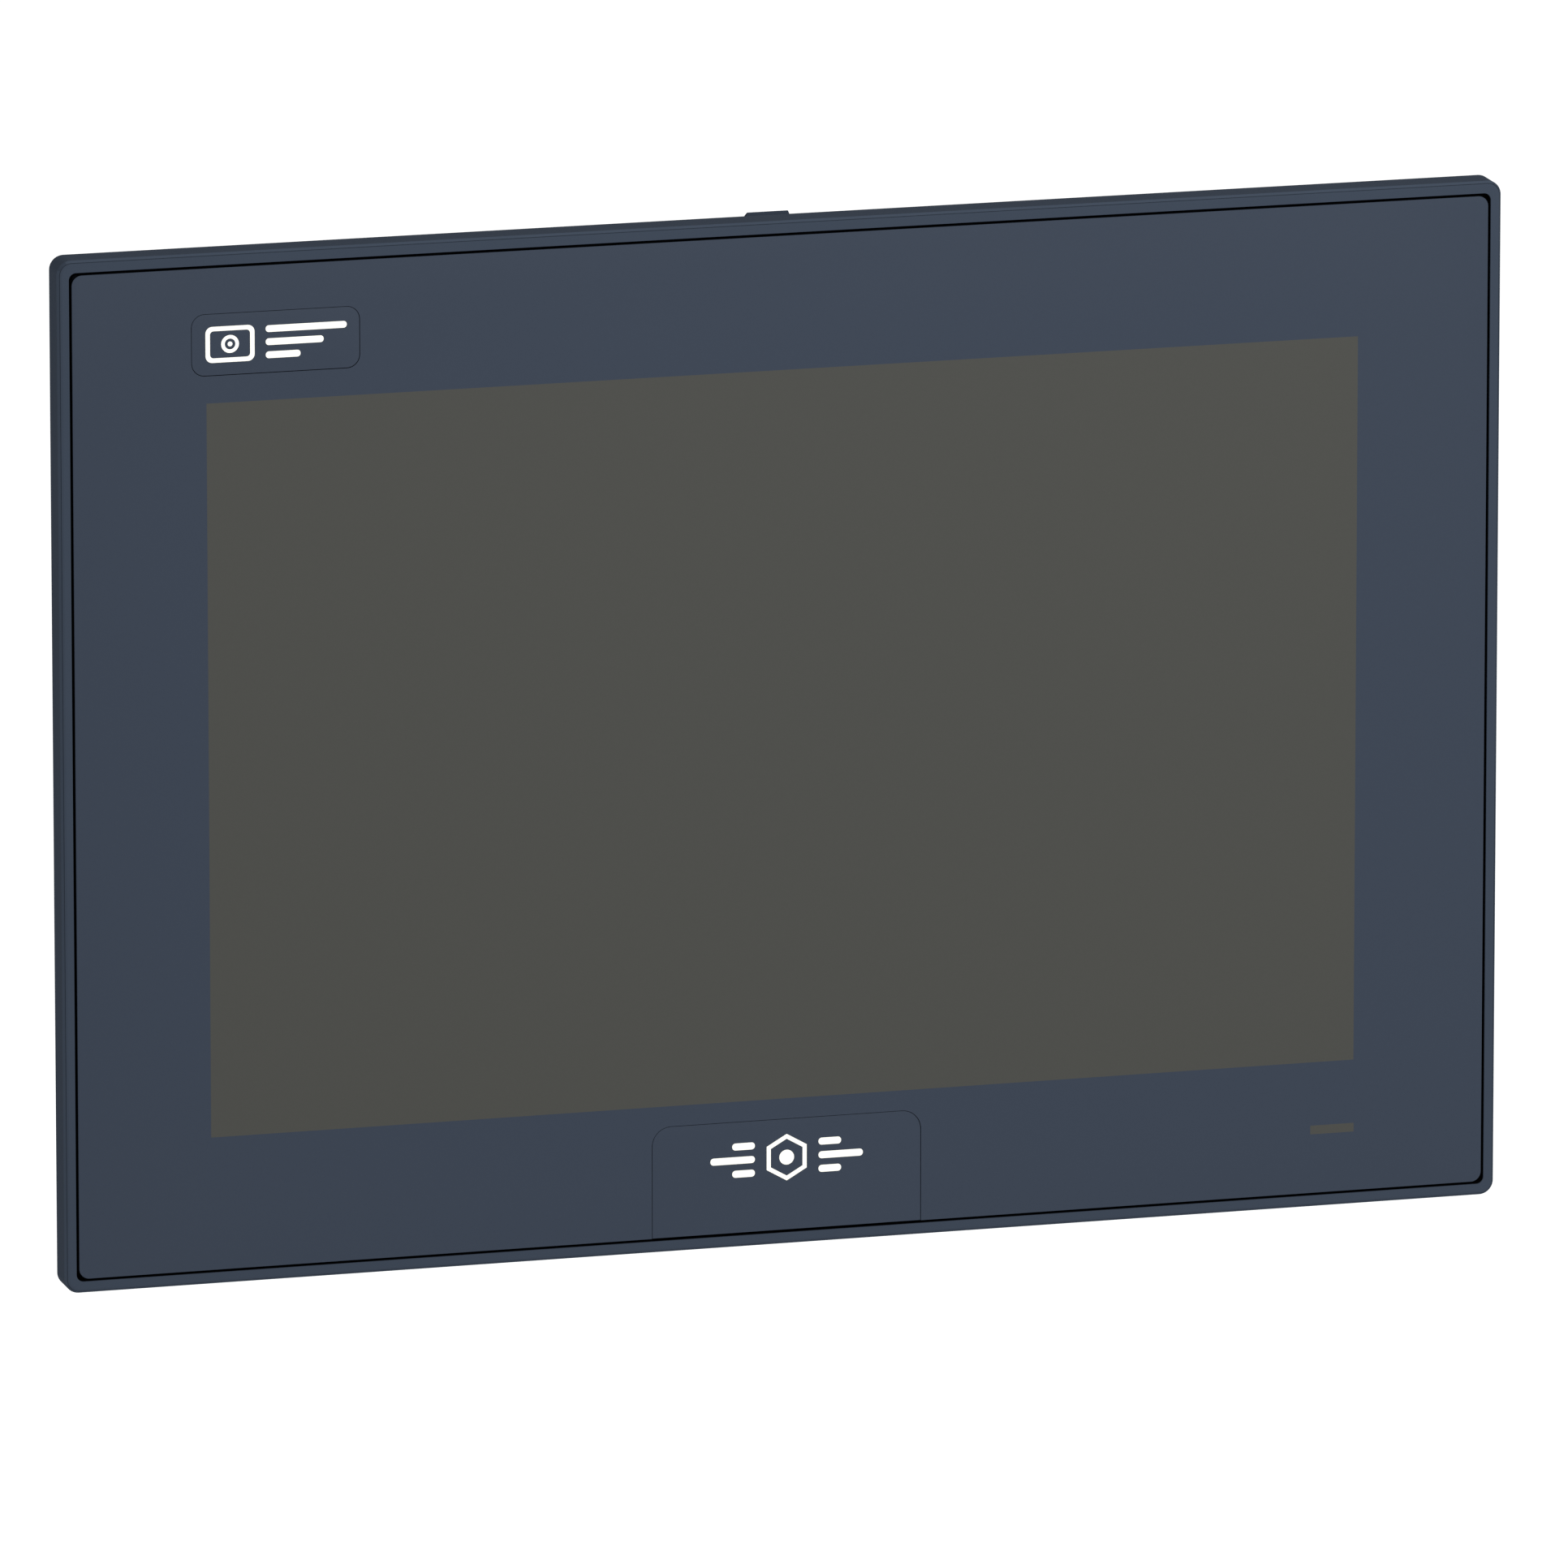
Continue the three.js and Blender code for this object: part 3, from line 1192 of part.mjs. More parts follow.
section([
  ["tray_housing", trayHousing(), MATERIAL.housing],
  ["drop_catch", dropCatch(), MATERIAL.bezel],
  ["catch_spring", catchSpring(), MATERIAL.steel],
  ["earth_screw", earthScrew(), MATERIAL.zinc],
]);

section([
  ["chassis_plate", chassisPlate(), MATERIAL.zinc],
  ["main_board", mainBoard(), MATERIAL.board],
  ["processor", processorChip(), MATERIAL.chip],
  ["heatsink", finnedHeatsink(), MATERIAL.aluminium],
  ["service_board", serviceBoard(), MATERIAL.board],
  ["dip_switch_body", dipSwitchBody(), MATERIAL.red],
  ...dipPlaces().map((x, i) => [`dip_slider_${i + 1}`, dipSlider(x), MATERIAL.white]),
  ["battery_holder", batteryHolder(), MATERIAL.black],
  ["coin_battery", coinBattery(), MATERIAL.zinc],
]);

section([
  ["power_inlet", powerInlet(), MATERIAL.black],
  ["power_plug", powerPlug(), MATERIAL.terminal],
  ...contactPlaces().map((x, i) => [`terminal_screw_${i + 1}`, terminalScrew(x), MATERIAL.zinc]),
  ["serial_port", serialPort(), MATERIAL.zinc],
  ["network_ports", networkPorts(), MATERIAL.zinc],
  ["usb_ports", usbPorts(), MATERIAL.zinc],
  ["reset_switch", resetSwitch(), MATERIAL.black],
  ["reset_button", resetButton(), MATERIAL.white],
  ["card_socket", cardSocket(), MATERIAL.zinc],
  ["memory_card", memoryCard(), MATERIAL.black],
]);

section([
  ["rear_cover", rearCover(), MATERIAL.housing],
  ["service_door", serviceDoor(), MATERIAL.housing],
  ["door_hinge_pin", doorHingePin(), MATERIAL.steel],
  ["rating_plate", ratingPlate(), MATERIAL.paper],
]);

for (const { name, sideX, sideZ } of CLAMP_CORNERS) {
  const clamp = section([
    [`clamp_bush_${name}`, clampBush(), MATERIAL.brass],
    [`clamp_arm_${name}`, clampArm(), MATERIAL.zinc],
    [`clamp_screw_${name}`, clampScrew(), MATERIAL.steel],
  ]);
  clamp.position.set(sideX * CLAMP.x, 0, sideZ * CLAMP.z);
  clamp.scale.set(sideX, 1, sideZ);
}

export default panel;
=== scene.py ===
"""Looks of the operator touch panel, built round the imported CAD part.

Lengths are millimetres until MM turns them into Blender's metres. X runs to the right, Y from
the front to the back and Z up. The origin is the centre of the cabinet's cut-out, on the
plane where the bezel meets the cabinet wall.
"""

import json
import math

import bmesh
import bpy
from mathutils import Matrix, Vector

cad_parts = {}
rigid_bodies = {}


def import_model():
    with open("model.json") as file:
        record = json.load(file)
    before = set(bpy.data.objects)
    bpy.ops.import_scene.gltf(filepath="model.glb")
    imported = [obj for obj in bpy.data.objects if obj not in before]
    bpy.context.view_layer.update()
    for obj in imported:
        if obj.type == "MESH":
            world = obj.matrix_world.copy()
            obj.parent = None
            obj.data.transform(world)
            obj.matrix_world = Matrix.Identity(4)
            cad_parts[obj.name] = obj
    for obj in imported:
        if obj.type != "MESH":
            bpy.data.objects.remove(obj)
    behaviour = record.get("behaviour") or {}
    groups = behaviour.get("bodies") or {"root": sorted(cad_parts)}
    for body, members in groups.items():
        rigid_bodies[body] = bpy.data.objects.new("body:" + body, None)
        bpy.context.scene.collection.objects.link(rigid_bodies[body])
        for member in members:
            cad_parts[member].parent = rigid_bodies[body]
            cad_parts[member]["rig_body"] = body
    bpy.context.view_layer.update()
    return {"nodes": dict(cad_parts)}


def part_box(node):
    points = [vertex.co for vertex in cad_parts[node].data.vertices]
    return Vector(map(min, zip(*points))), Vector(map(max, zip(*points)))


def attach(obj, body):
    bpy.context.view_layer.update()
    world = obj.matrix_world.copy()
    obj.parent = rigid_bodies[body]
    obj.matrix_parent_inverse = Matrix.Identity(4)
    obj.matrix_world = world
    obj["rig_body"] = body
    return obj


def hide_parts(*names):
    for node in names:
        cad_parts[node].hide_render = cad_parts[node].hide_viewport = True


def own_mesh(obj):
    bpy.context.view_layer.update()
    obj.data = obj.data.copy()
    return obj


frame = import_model()

MM = 0.001


def extent(node):
    """The (low, high) pairs of a CAD node along X, Y and Z, in millimetres."""
    low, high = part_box(node)
    return [(a / MM, b / MM) for a, b in zip(low, high)]


def middle(pair):
    """Halfway between a pair's two values."""
    return (pair[0] + pair[1]) / 2


# -------- dimensions

PANEL_X, (FRONT, _), PANEL_Z = extent("front_bezel")
FILM_X, FILM_Y, FILM_Z = extent("front_overlay")
CORNER_STEPS = 12  # flats in a rounded corner of the front
EDGE_STEPS = 5  # flats across a rounded edge
SMALL_SIDES = 32  # flats round a small turned piece
AXIS = 0.01  # the innermost radius of a solid turned piece
HAIR = 0.01  # the margin of a test that picks out faces

BEZEL_CORNER = 3.2
# The front edge, from the side to the flat rim, as (inset, depth behind the front): a steep
# facet, a hairline crease and a shallow facet.
BEZEL_EDGE = ((0, 0.93), (0.42, 0.2), (0.51, 0.32), (0.6, 0.14), (1.05, 0))
BACK_EDGE = 0.25
RIM_EDGE = 0.1
POCKET_GAP = 0.6  # between the film and the wall of its pocket
POCKET_CORNER = 1.6
POCKET_FLOOR = FRONT + 1.1
GROOVE_WIDTH = 1.0
GROOVE_FLOOR = FRONT + 2.9
GROOVE_SHADE_FROM = FRONT + 0.35  # painted shade: the groove's walls are near black from here on
# Openings and steps of the bezel, as (half width, half height, corner radius).
SENSOR_POCKET = (137.5, 88.5, 0.8)
SHELF = (133.0, 84.0, 0.8)
DISPLAY_POCKET = (139.5, 92.5, 0.8)
SEAL_INNER = (158.6, 109.6, 4.0)
SEAL_OUTER = (162.4, 113.4, 4.0)
SENSOR_FLOOR = FRONT + 3.5
SHELF_BACK = -2.5
SEAL_FLOOR = -1.5
SEAL_GAP = 0.3
BOSS_PLACES = [(x, z) for x in (-150, 150) for z in (-98, 0, 98)]
BOSS_RADIUS = 3.2
BOSS_BORE = 1.25
BOSS_ROOT = -1
BOSS_HEIGHT = 5.3
BOSS_EDGE = 0.3
BORE_Y = (0.5, 8)
TAIL_SLOT_X = (-10.5, 10.5)  # lets the touch sensor's tail through
TAIL_SLOT_Z = (-96, -84)
LIGHT_MARGIN = 0.2  # between the light pipe's window and its slot
SLOT_BACK = 2
OVERCUT = 0.3  # how far a slot reaches into open air

FILM_CORNER = 2.3
FILM_EDGE = 0.12
WINDOW_X = (-131.05, 131.05)
WINDOW_Z = (-82.15, 82.15)
LIGHT_X = (121.1, 131.2)
LIGHT_Z = (-98.65, -96.65)
WINDOWS = ((WINDOW_X, WINDOW_Z), (LIGHT_X, LIGHT_Z))
LABEL_STEP = 0.05  # how far a label's face lies behind the film's face
LABEL_MARGIN = 0.12
LABEL_DEPTH = 0.45
LABEL_EDGE = 0.08
LOGO_CORNER = 4.4
LOGO_CENTRE = (0, -95.55)
# Each label's node, its corner, and how far its outline runs on past the film's lower edge.
LABELS = (("badge_label", 3.0, 0), ("logo_label", LOGO_CORNER, 3 * LOGO_CORNER))
PRINT = 0.03  # thickness of a printed mark

WASHER = 0.5  # thickness
EAR_PLACES = [(x, z) for x in (-126, 126) for z in (-40, 60)]
COVER_SCREW = (2.9, 1.8)  # radius and height of the head
COVER_WASHER = 4.2
TRAY_SCREW = (2.7, 1.7)
SMALL_CROSS = (0.62, 0.3, 0.7)  # reach and width over the radius, depth over the height
# Cross recesses and the like, as (reach, width, depth).
CLAMP_CROSS = (2.3, 1.0, 1.5)
EARTH_CROSS = (2.4, 1.0, 1.4)
PLUS_SIGN = (3, 0.8, 0.12)
# Threads, as (outer radius, depth, pitch).
CLAMP_THREAD = (2.0, 0.28, 0.7)
EARTH_THREAD = (2.0, 0.25, 0.7)
ARM_LEDGE = 0.15  # takes in the step of 0.1 mm where an arm's foot meets its bar

SINK_BASE = (36.5, 39.7)
SINK_FOOT = 13  # half the width of the foot on the processor
SINK_FOOT_Z = (22, 48)
FIN_COUNT = 15
FIN_PITCH = 6
FIN_THICKNESS = 1.8
FIN_Z = (5, 65)
SINK_JOIN = 0.3  # how far the heatsink's parts run into each other
TRAY_BACK = 18.0
LIP_BACK = 20.3
COVER_BACK = 42
BOARD_FACES = (20.2, 22.1)  # just outside the main board's own faces
CAPACITORS_X = (-120, -66)
CAPACITORS_Z = (-36, -24)
SERVICE_FRONT = 29.9
POWER_X = -74
SERIAL_CENTRE = 28.85
SERIAL_DEPTH = 5.4
SERIAL_X = -36
JACK_OFFSET = 8
NETWORK_X = (-4, 12)
USB_X = 36
USB_LEVELS = (26.1, 33.9)
RESET_X = 55
SIGN_LEVEL = -62.5
CLAMPS = {"1": (-95, 102), "2": (95, 102), "3": (-95, -102), "4": (95, -102)}

VIEW_AZIMUTH = -15.878  # degrees, to the left of the front
VIEW_ELEVATION = 12.9
VIEW_DISTANCE = 4.516  # metres
FLOOR_LEVEL = -0.6  # metres
FLOOR_REACH = 20


# -------- finishes


class Finish:
    """A material whose Principled shader takes colour, gloss and relief from patterns."""

    def __init__(self, name, colour, roughness, **sockets):
        self.name = name
        self.material = bpy.data.materials.new(name)
        self.material.use_nodes = True
        self.tree = self.material.node_tree
        self.shader = self.tree.nodes["Principled BSDF"]
        self.colour = colour
        self.shader.inputs["Base Color"].default_value = (*colour, 1)
        self.shader.inputs["Roughness"].default_value = roughness
        for socket, value in sockets.items():
            self.shader.inputs[socket.replace("_", " ")].default_value = value
        self.place = self.add("TexCoord").outputs["Object"]

    def add(self, kind, inputs=None, **settings):
        """A new node; an input is a value or the output that feeds it."""
        node = self.tree.nodes.new("ShaderNode" + kind)
        for key, value in settings.items():
            setattr(node, key, value)
        for key, value in (inputs or {}).items():
            if isinstance(value, bpy.types.NodeSocket):
                self.tree.links.new(value, node.inputs[key])
            else:
                node.inputs[key].default_value = value
        return node

    def stretched(self, stretch):
        """The surface's place, squeezed along each axis by a factor."""
        return self.add("Mapping", {"Vector": self.place, "Scale": stretch}).outputs[0]

    def noise(self, size, detail=2.0, stretch=(1, 1, 1), offset=0.0):
        """Smooth noise from 0 to 1 whose blotches are about size millimetres wide."""
        inputs = {
            "Vector": self.stretched(stretch),
            "W": offset,
            "Scale": 1 / (size * MM),
            "Detail": detail,
        }
        return self.add("TexNoise", inputs, noise_dimensions="4D").outputs[0]

    def cells(self, size, feature="F1", stretch=(1, 1, 1)):
        """Distance inside cells about size millimetres wide, from 0 at their centres."""
        inputs = {"Vector": self.stretched(stretch), "Scale": 1 / (size * MM)}
        return self.add("TexVoronoi", inputs, feature=feature).outputs["Distance"]

    def lines(self, pitch, axis):
        """Straight bands from 0 to 1 across an axis, one every pitch millimetres."""
        inputs = {"Vector": self.place, "Scale": math.pi / (10 * pitch * MM)}
        node = self.add("TexWave", inputs, bands_direction=axis)
        return node.outputs["Fac"]

    def ranged(self, factor, low, high, start=0.0, end=1.0):
        inputs = {0: factor, 1: start, 2: end, 3: low, 4: high}
        return self.add("MapRange", inputs).outputs[0]

    def multiplied(self, first, second):
        return self.add("Math", {0: first, 1: second}, operation="MULTIPLY").outputs[0]

    def mixed(self, factor, first, second):
        """A colour between two; each is a colour or the output of another mix."""
        inputs = {0: factor}
        for key, colour in ((6, first), (7, second)):
            inputs[key] = (*colour, 1) if isinstance(colour, tuple) else colour
        node = self.add("Mix", inputs, data_type="RGBA")
        self.tree.links.new(node.outputs[2], self.shader.inputs["Base Color"])
        return node.outputs[2]

    def tint(self, factor, spread):
        """Varies the colour's lightness by a share of it, up and down."""
        darker = tuple(c * (1 - spread) for c in self.colour)
        lighter = tuple(c * (1 + spread) for c in self.colour)
        return self.mixed(factor, darker, lighter)

    def gloss(self, factor, low, high):
        rough = self.ranged(factor, low, high)
        self.tree.links.new(rough, self.shader.inputs["Roughness"])
        return self

    def relief(self, height, depth, base=None):
        """Raises the surface by height, depth millimetres high where it is 1."""
        inputs = {"Height": height, "Distance": depth * MM, "Strength": 1.0}
        if base is not None:
            inputs["Normal"] = base
        normal = self.add("Bump", inputs).outputs[0]
        self.tree.links.new(normal, self.shader.inputs["Normal"])
        return normal


def moulded(name, colour, roughness, grain, depth, **sockets):
    """Plastic with the fine pitted texture of a spark-eroded mould."""
    finish = Finish(name, colour, roughness, **sockets)
    pits = finish.noise(grain, 3)
    finish.tint(finish.noise(22, 3, offset=2), 0.06)
    finish.gloss(finish.noise(grain * 2, 2, offset=5), roughness - 0.07, roughness + 0.07)
    finish.relief(pits, depth)
    return finish


def polished(name, colour, roughness, stretch, **sockets):
    """Metal with fine scratches along the axis that stretch shrinks."""
    finish = Finish(name, colour, roughness, Metallic=1.0, **sockets)
    scratches = finish.noise(0.25, 3, stretch)
    finish.tint(finish.noise(6, 3, offset=3), 0.07)
    finish.gloss(scratches, roughness - 0.08, roughness + 0.12)
    finish.relief(scratches, 0.002)
    return finish


def zinc_plated():
    """Sheet steel with the cloudy, faintly spangled look of zinc."""
    finish = Finish("zinc_steel", (0.4, 0.415, 0.43), 0.36, Metallic=1.0)
    spangle = finish.cells(3.2)
    finish.tint(finish.noise(9, 4), 0.13)
    finish.gloss(spangle, 0.28, 0.46)
    finish.relief(finish.noise(0.5, 3, (1, 1, 0.2)), 0.002)
    return finish


def circuit_board():
    """Green lacquer over copper tracks, with tinned dots where the tracks change side."""
    finish = Finish("circuit_board", (0.012, 0.085, 0.035), 0.32)
    tracks = finish.ranged(finish.lines(0.9, "X"), 1, 0, 0.12, 0.22)
    patches = finish.ranged(finish.cells(9, stretch=(1, 1, 0.4)), 0, 1, 0.4, 0.45)
    shown = finish.multiplied(tracks, patches)
    lacquer = finish.mixed(shown, finish.colour, (0.03, 0.16, 0.06))
    dots = finish.ranged(finish.cells(2.4), 1, 0, 0.1, 0.14)
    finish.mixed(dots, lacquer, (0.5, 0.46, 0.34))
    finish.relief(shown, 0.03)
    return finish


def flat_cable():
    """Amber film over parallel copper tracks."""
    finish = Finish("flex_film", (0.36, 0.13, 0.02), 0.4)
    tracks = finish.ranged(finish.lines(1.0, "X"), 0, 1, 0.35, 0.5)
    finish.mixed(tracks, finish.colour, (0.55, 0.25, 0.07))
    finish.relief(tracks, 0.03)
    return finish


def extruded():
    """Satin aluminium with the long draw lines of an extrusion."""
    finish = Finish("heatsink_aluminium", (0.45, 0.46, 0.47), 0.36, Metallic=1.0)
    draw = finish.noise(0.35, 4, (1, 1, 0.02))
    finish.tint(draw, 0.08)
    finish.gloss(draw, 0.3, 0.46)
    finish.relief(draw, 0.006)
    return finish


def foam():
    """Soft black foam full of small bubbles."""
    finish = Finish("foam", (0.02, 0.02, 0.021), 0.95)
    bubbles = finish.cells(0.5)
    finish.tint(bubbles, 0.4)
    finish.relief(bubbles, 0.15)
    return finish


def front_film(name, colour, roughness, grain, depth, specular):
    """Anti-glare film: a very fine frosted relief and hardly any drift of tone."""
    finish = Finish(name, colour, roughness, Specular_IOR_Level=specular)
    frost = finish.noise(grain, 2)
    finish.tint(finish.noise(grain * 1.4, 1, offset=1), 0.05)
    finish.gloss(finish.noise(14, 2, offset=4), roughness - 0.03, roughness + 0.03)
    finish.relief(frost, depth)
    return finish


def plain(name, colour, roughness, **sockets):
    """Small trim: an even colour with a trace of grain."""
    finish = Finish(name, colour, roughness, **sockets)
    grain = finish.noise(0.4, 2)
    finish.tint(grain, 0.05)
    finish.relief(grain, 0.003)
    return finish


# moulded and front_film take a colour, a roughness, the grain's width and its height in mm.
FINISHES = (
    moulded(
        "bezel_plastic", (0.0246, 0.0322, 0.0458), 0.92, 0.4, 0.008, Specular_IOR_Level=0.02
    ),
    # Near-black painted shade for deep gaps: the bezel's groove walls and the film's cut edge.
    plain("painted_gap_shade", (0.0015, 0.0015, 0.002), 0.9, Specular_IOR_Level=0.01),
    # A lighter copy of the bezel's plastic: a painted highlight for the steep facet of the front
    # edge.
    moulded(
        "bezel_painted_highlight", (0.0318, 0.0416, 0.0585), 0.9, 0.4, 0.004, Specular_IOR_Level=0.02
    ),
    front_film("front_film", (0.0212, 0.0281, 0.0414), 0.55, 0.22, 0.004, 0.06),
    front_film("display_window", (0.034, 0.0345, 0.031), 0.45, 0.22, 0.003, 0.1),
    front_film("label_film", (0.0212, 0.0281, 0.0414), 0.5, 0.22, 0.003, 0.06),
    plain("white_print", (0.62, 0.61, 0.56), 0.55, Specular_IOR_Level=0.2),
    moulded("housing_plastic", (0.021, 0.025, 0.032), 0.55, 0.6, 0.02),
    moulded("gasket_rubber", (0.008, 0.008, 0.009), 0.75, 0.3, 0.01),
    foam(),
    plain("display_glass", (0.02, 0.021, 0.022), 0.12),
    plain("light_pipe", (0.45, 0.47, 0.45), 0.2, Transmission_Weight=0.6),
    polished("steel", (0.46, 0.46, 0.47), 0.3, (1, 1, 0.05)),
    zinc_plated(),
    polished("brass", (0.62, 0.42, 0.16), 0.28, (1, 0.1, 1)),
    extruded(),
    circuit_board(),
    flat_cable(),
    moulded("chip_plastic", (0.018, 0.018, 0.02), 0.5, 0.2, 0.006),
    moulded("black_plastic", (0.012, 0.012, 0.013), 0.45, 0.3, 0.006),
    moulded("terminal_plastic", (0.02, 0.2, 0.055), 0.4, 0.3, 0.005),
    moulded("switch_red", (0.36, 0.02, 0.018), 0.4, 0.2, 0.004),
    moulded("white_plastic", (0.72, 0.71, 0.67), 0.4, 0.2, 0.003),
    polished("port_metal", (0.62, 0.61, 0.59), 0.24, (0.06, 1, 1)),
    polished("battery_steel", (0.6, 0.6, 0.61), 0.22, (0.08, 1, 1)),
    polished("plate_film", (0.55, 0.56, 0.57), 0.38, (0.04, 1, 1)),
    polished("contact_gold", (0.85, 0.58, 0.2), 0.22, (1, 1, 0.1)),
    plain("green_lens", (0.05, 0.42, 0.1), 0.2),
    plain("amber_lens", (0.65, 0.3, 0.03), 0.2),
)
FINISH = {finish.name: finish for finish in FINISHES}


# -------- mesh tools


def piece(name, bm, body, finishes, replaces=()):
    """Makes the bmesh, in metres, a piece that rides on a body and has these finishes."""
    bmesh.ops.recalc_face_normals(bm, faces=bm.faces)
    mesh = bpy.data.meshes.new(name)
    bm.to_mesh(mesh)
    bm.free()
    for finish in finishes:
        mesh.materials.append(FINISH[finish].material)
    obj = bpy.data.objects.new(name, mesh)
    bpy.context.scene.collection.objects.link(obj)
    if body:
        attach(obj, body)
    if replaces:
        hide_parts(*replaces)
    return obj


def settle(obj):
    """Turns what an object's modifiers make into its own mesh."""
    graph = bpy.context.evaluated_depsgraph_get()
    before = obj.data
    obj.data = bpy.data.meshes.new_from_object(obj.evaluated_get(graph), depsgraph=graph)
    obj.modifiers.clear()
    bpy.data.meshes.remove(before)
    return obj


def carve(obj, bm, operation="DIFFERENCE"):
    """Cuts the bmesh from a piece, or joins it on."""
    cutter = piece("cutter", bm, None, ())
    modifier = obj.modifiers.new("carve", "BOOLEAN")
    modifier.operation = operation
    modifier.solver = "EXACT"
    modifier.object = cutter
    settle(obj)
    bpy.data.objects.remove(cutter)
    return obj


# Angles, in degrees, above which an edge stays crisp.
MADE = 38
TURNED = 30
ROUNDED = 50
SWEPT = 12


def shaded(obj, angle=MADE):
    """Smooth shading with crisp edges where the surface turns by more than the angle."""
    obj.data.shade_smooth()
    obj.data.set_sharp_from_angle(angle=math.radians(angle))
    return obj


def even_normals(obj):
    """Keeps wide faces flat beside their rounded edges."""
    normals = obj.modifiers.new("face_normals", "WEIGHTED_NORMAL")
    normals.keep_sharp = True
    return obj


def softened(obj, width):
    """Rounds the edges of a piece that turn by more than 35 degrees."""
    bevel = obj.modifiers.new("soft_edges", "BEVEL")
    bevel.width = width * MM
    bevel.segments = 2
    bevel.limit_method = "ANGLE"
    bevel.angle_limit = math.radians(35)
    bevel.use_clamp_overlap = False
    bevel.miter_outer = "MITER_ARC"
    settle(obj)
    shaded(obj, ROUNDED)
    return even_normals(obj)


def stand_in(node, part, bm, finishes):
    """A newly made shape that stands for a CAD node and rides on its body."""
    body = frame["nodes"][node]["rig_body"]
    return piece(f"{node}.{part}", bm, body, finishes, [node])


def refined(node, finishes, width, weld=0.002):
    """A copy of a CAD node with its flat faces made whole and its edges rounded."""
    bm = bmesh.new()
    bm.from_mesh(frame["nodes"][node].data)
    bmesh.ops.remove_doubles(bm, verts=bm.verts, dist=weld * MM)
    nearly_flat = math.radians(0.4)
    bmesh.ops.dissolve_limit(bm, angle_limit=nearly_flat, verts=bm.verts, edges=bm.edges)
    return softened(stand_in(node, "shape", bm, finishes), width)


def painted(obj, index, test):
    """Gives another of a piece's finishes to the faces whose centre passes the test."""
    for polygon in obj.data.polygons:
        if test(*(polygon.center / MM)):
            polygon.material_index = index
    return obj


def within(x, y, z):
    """A test for a place inside three (low, high) pairs, in millimetres."""
    pairs = (x, y, z)
    return lambda *place: all(low <= v <= high for v, (low, high) in zip(place, pairs))


ANY = (-1000, 1000)
SQUARE = ((-1, -1), (1, -1), (1, 1), (-1, 1))


def ring_of(bm, points):
    """New vertices at points given in millimetres."""
    return [bm.verts.new(Vector(point) * MM) for point in points]


def bridge(bm, first, second):
    """A band of quads between two rings of equally many vertices."""
    count = len(first)
    for i in range(count):
        j = (i + 1) % count
        bm.faces.new((first[i], first[j], second[j], second[i]))


def loft(bm, rings, ends="caps"):
    """A skin through rings of equally many points, capped, or closed on itself."""
    loops = [ring_of(bm, ring) for ring in rings]
    for first, second in zip(loops, loops[1:]):
        bridge(bm, first, second)
    if ends == "round":
        bridge(bm, loops[-1], loops[0])
    else:
        bm.faces.new(loops[0])
        bm.faces.new(loops[-1])
    return bm


def rounded(half_x, half_z, corner, y, centre=(0, 0), steps=CORNER_STEPS):
    """The points of a rounded rectangle that faces the front, at a depth y."""
    points = []
    for quadrant, (side_x, side_z) in enumerate(((1, 1), (-1, 1), (-1, -1), (1, -1))):
        for step in range(steps + 1):
            turn = (quadrant + step / steps) * math.pi / 2
            x = side_x * (half_x - corner) + corner * math.cos(turn)
            z = side_z * (half_z - corner) + corner * math.sin(turn)
            points.append((centre[0] + x, y, centre[1] + z))
    return points


def quarter(steps=EDGE_STEPS):
    """(inward, along) shares of a rounded edge's radius, from its side to its face."""
    turns = [step / steps * math.pi / 2 for step in range(steps + 1)]
    return [(1 - math.cos(turn), 1 - math.sin(turn)) for turn in turns]


def slab(bm, x, y, z, corner, front_edge=0.0, back_edge=0.0):
    """A plate between three pairs, with rounded corners and rounded front and back edges."""
    half_x = (x[1] - x[0]) / 2
    half_z = (z[1] - z[0]) / 2
    centre = (middle(x), middle(z))
    sharpest = 0.02

    def level(inset, depth):
        radius = max(corner - inset, sharpest)
        return rounded(half_x - inset, half_z - inset, radius, depth, centre)

    front = [level(front_edge * a, y[0] + front_edge * b) for a, b in quarter()]
    back = [level(back_edge * a, y[1] - back_edge * b) for a, b in quarter()]
    rings = (front if front_edge else [level(0, y[0])])[::-1]
    rings += back if back_edge else [level(0, y[1])]
    return loft(bm, rings)


def sliced(bm, place, normal, **settings):
    """Cuts a bmesh along the plane through a place, given in millimetres."""
    everything = bm.verts[:] + bm.edges[:] + bm.faces[:]
    where = Vector(place) * MM
    return bmesh.ops.bisect_plane(bm, geom=everything, plane_co=where, plane_no=normal, **settings)


def box(bm, x, y, z):
    """A plain block between three pairs."""
    corners = [(x[0], z[0]), (x[1], z[0]), (x[1], z[1]), (x[0], z[1])]
    return loft(bm, [[(a, depth, b) for a, b in corners] for depth in y])


def lathe(bm, profile, place, axis="y", sides=48, closed=False):
    """A turned piece from (radius, height) points; closed for a ring, else axis to axis."""
    turns = [2 * math.pi * i / sides for i in range(sides)]

    def spot(radius, height, turn):
        a = radius * math.cos(turn)
        b = radius * math.sin(turn)
        if axis == "y":
            return (place[0] + a, height, place[1] + b)
        return (place[0] + a, place[1] + b, height)

    rings = [[spot(radius, height, turn) for turn in turns] for radius, height in profile]
    if closed:
        return loft(bm, rings, "round")
    return loft(bm, rings)


def turned_edge(radius, height, edge, inward, steps=EDGE_STEPS):
    """(radius, height) points round the outer rim of a turned face; inward is -1 or 1."""
    return [
        (radius - edge * a, height - inward * edge * b) for a, b in quarter(steps)
    ]


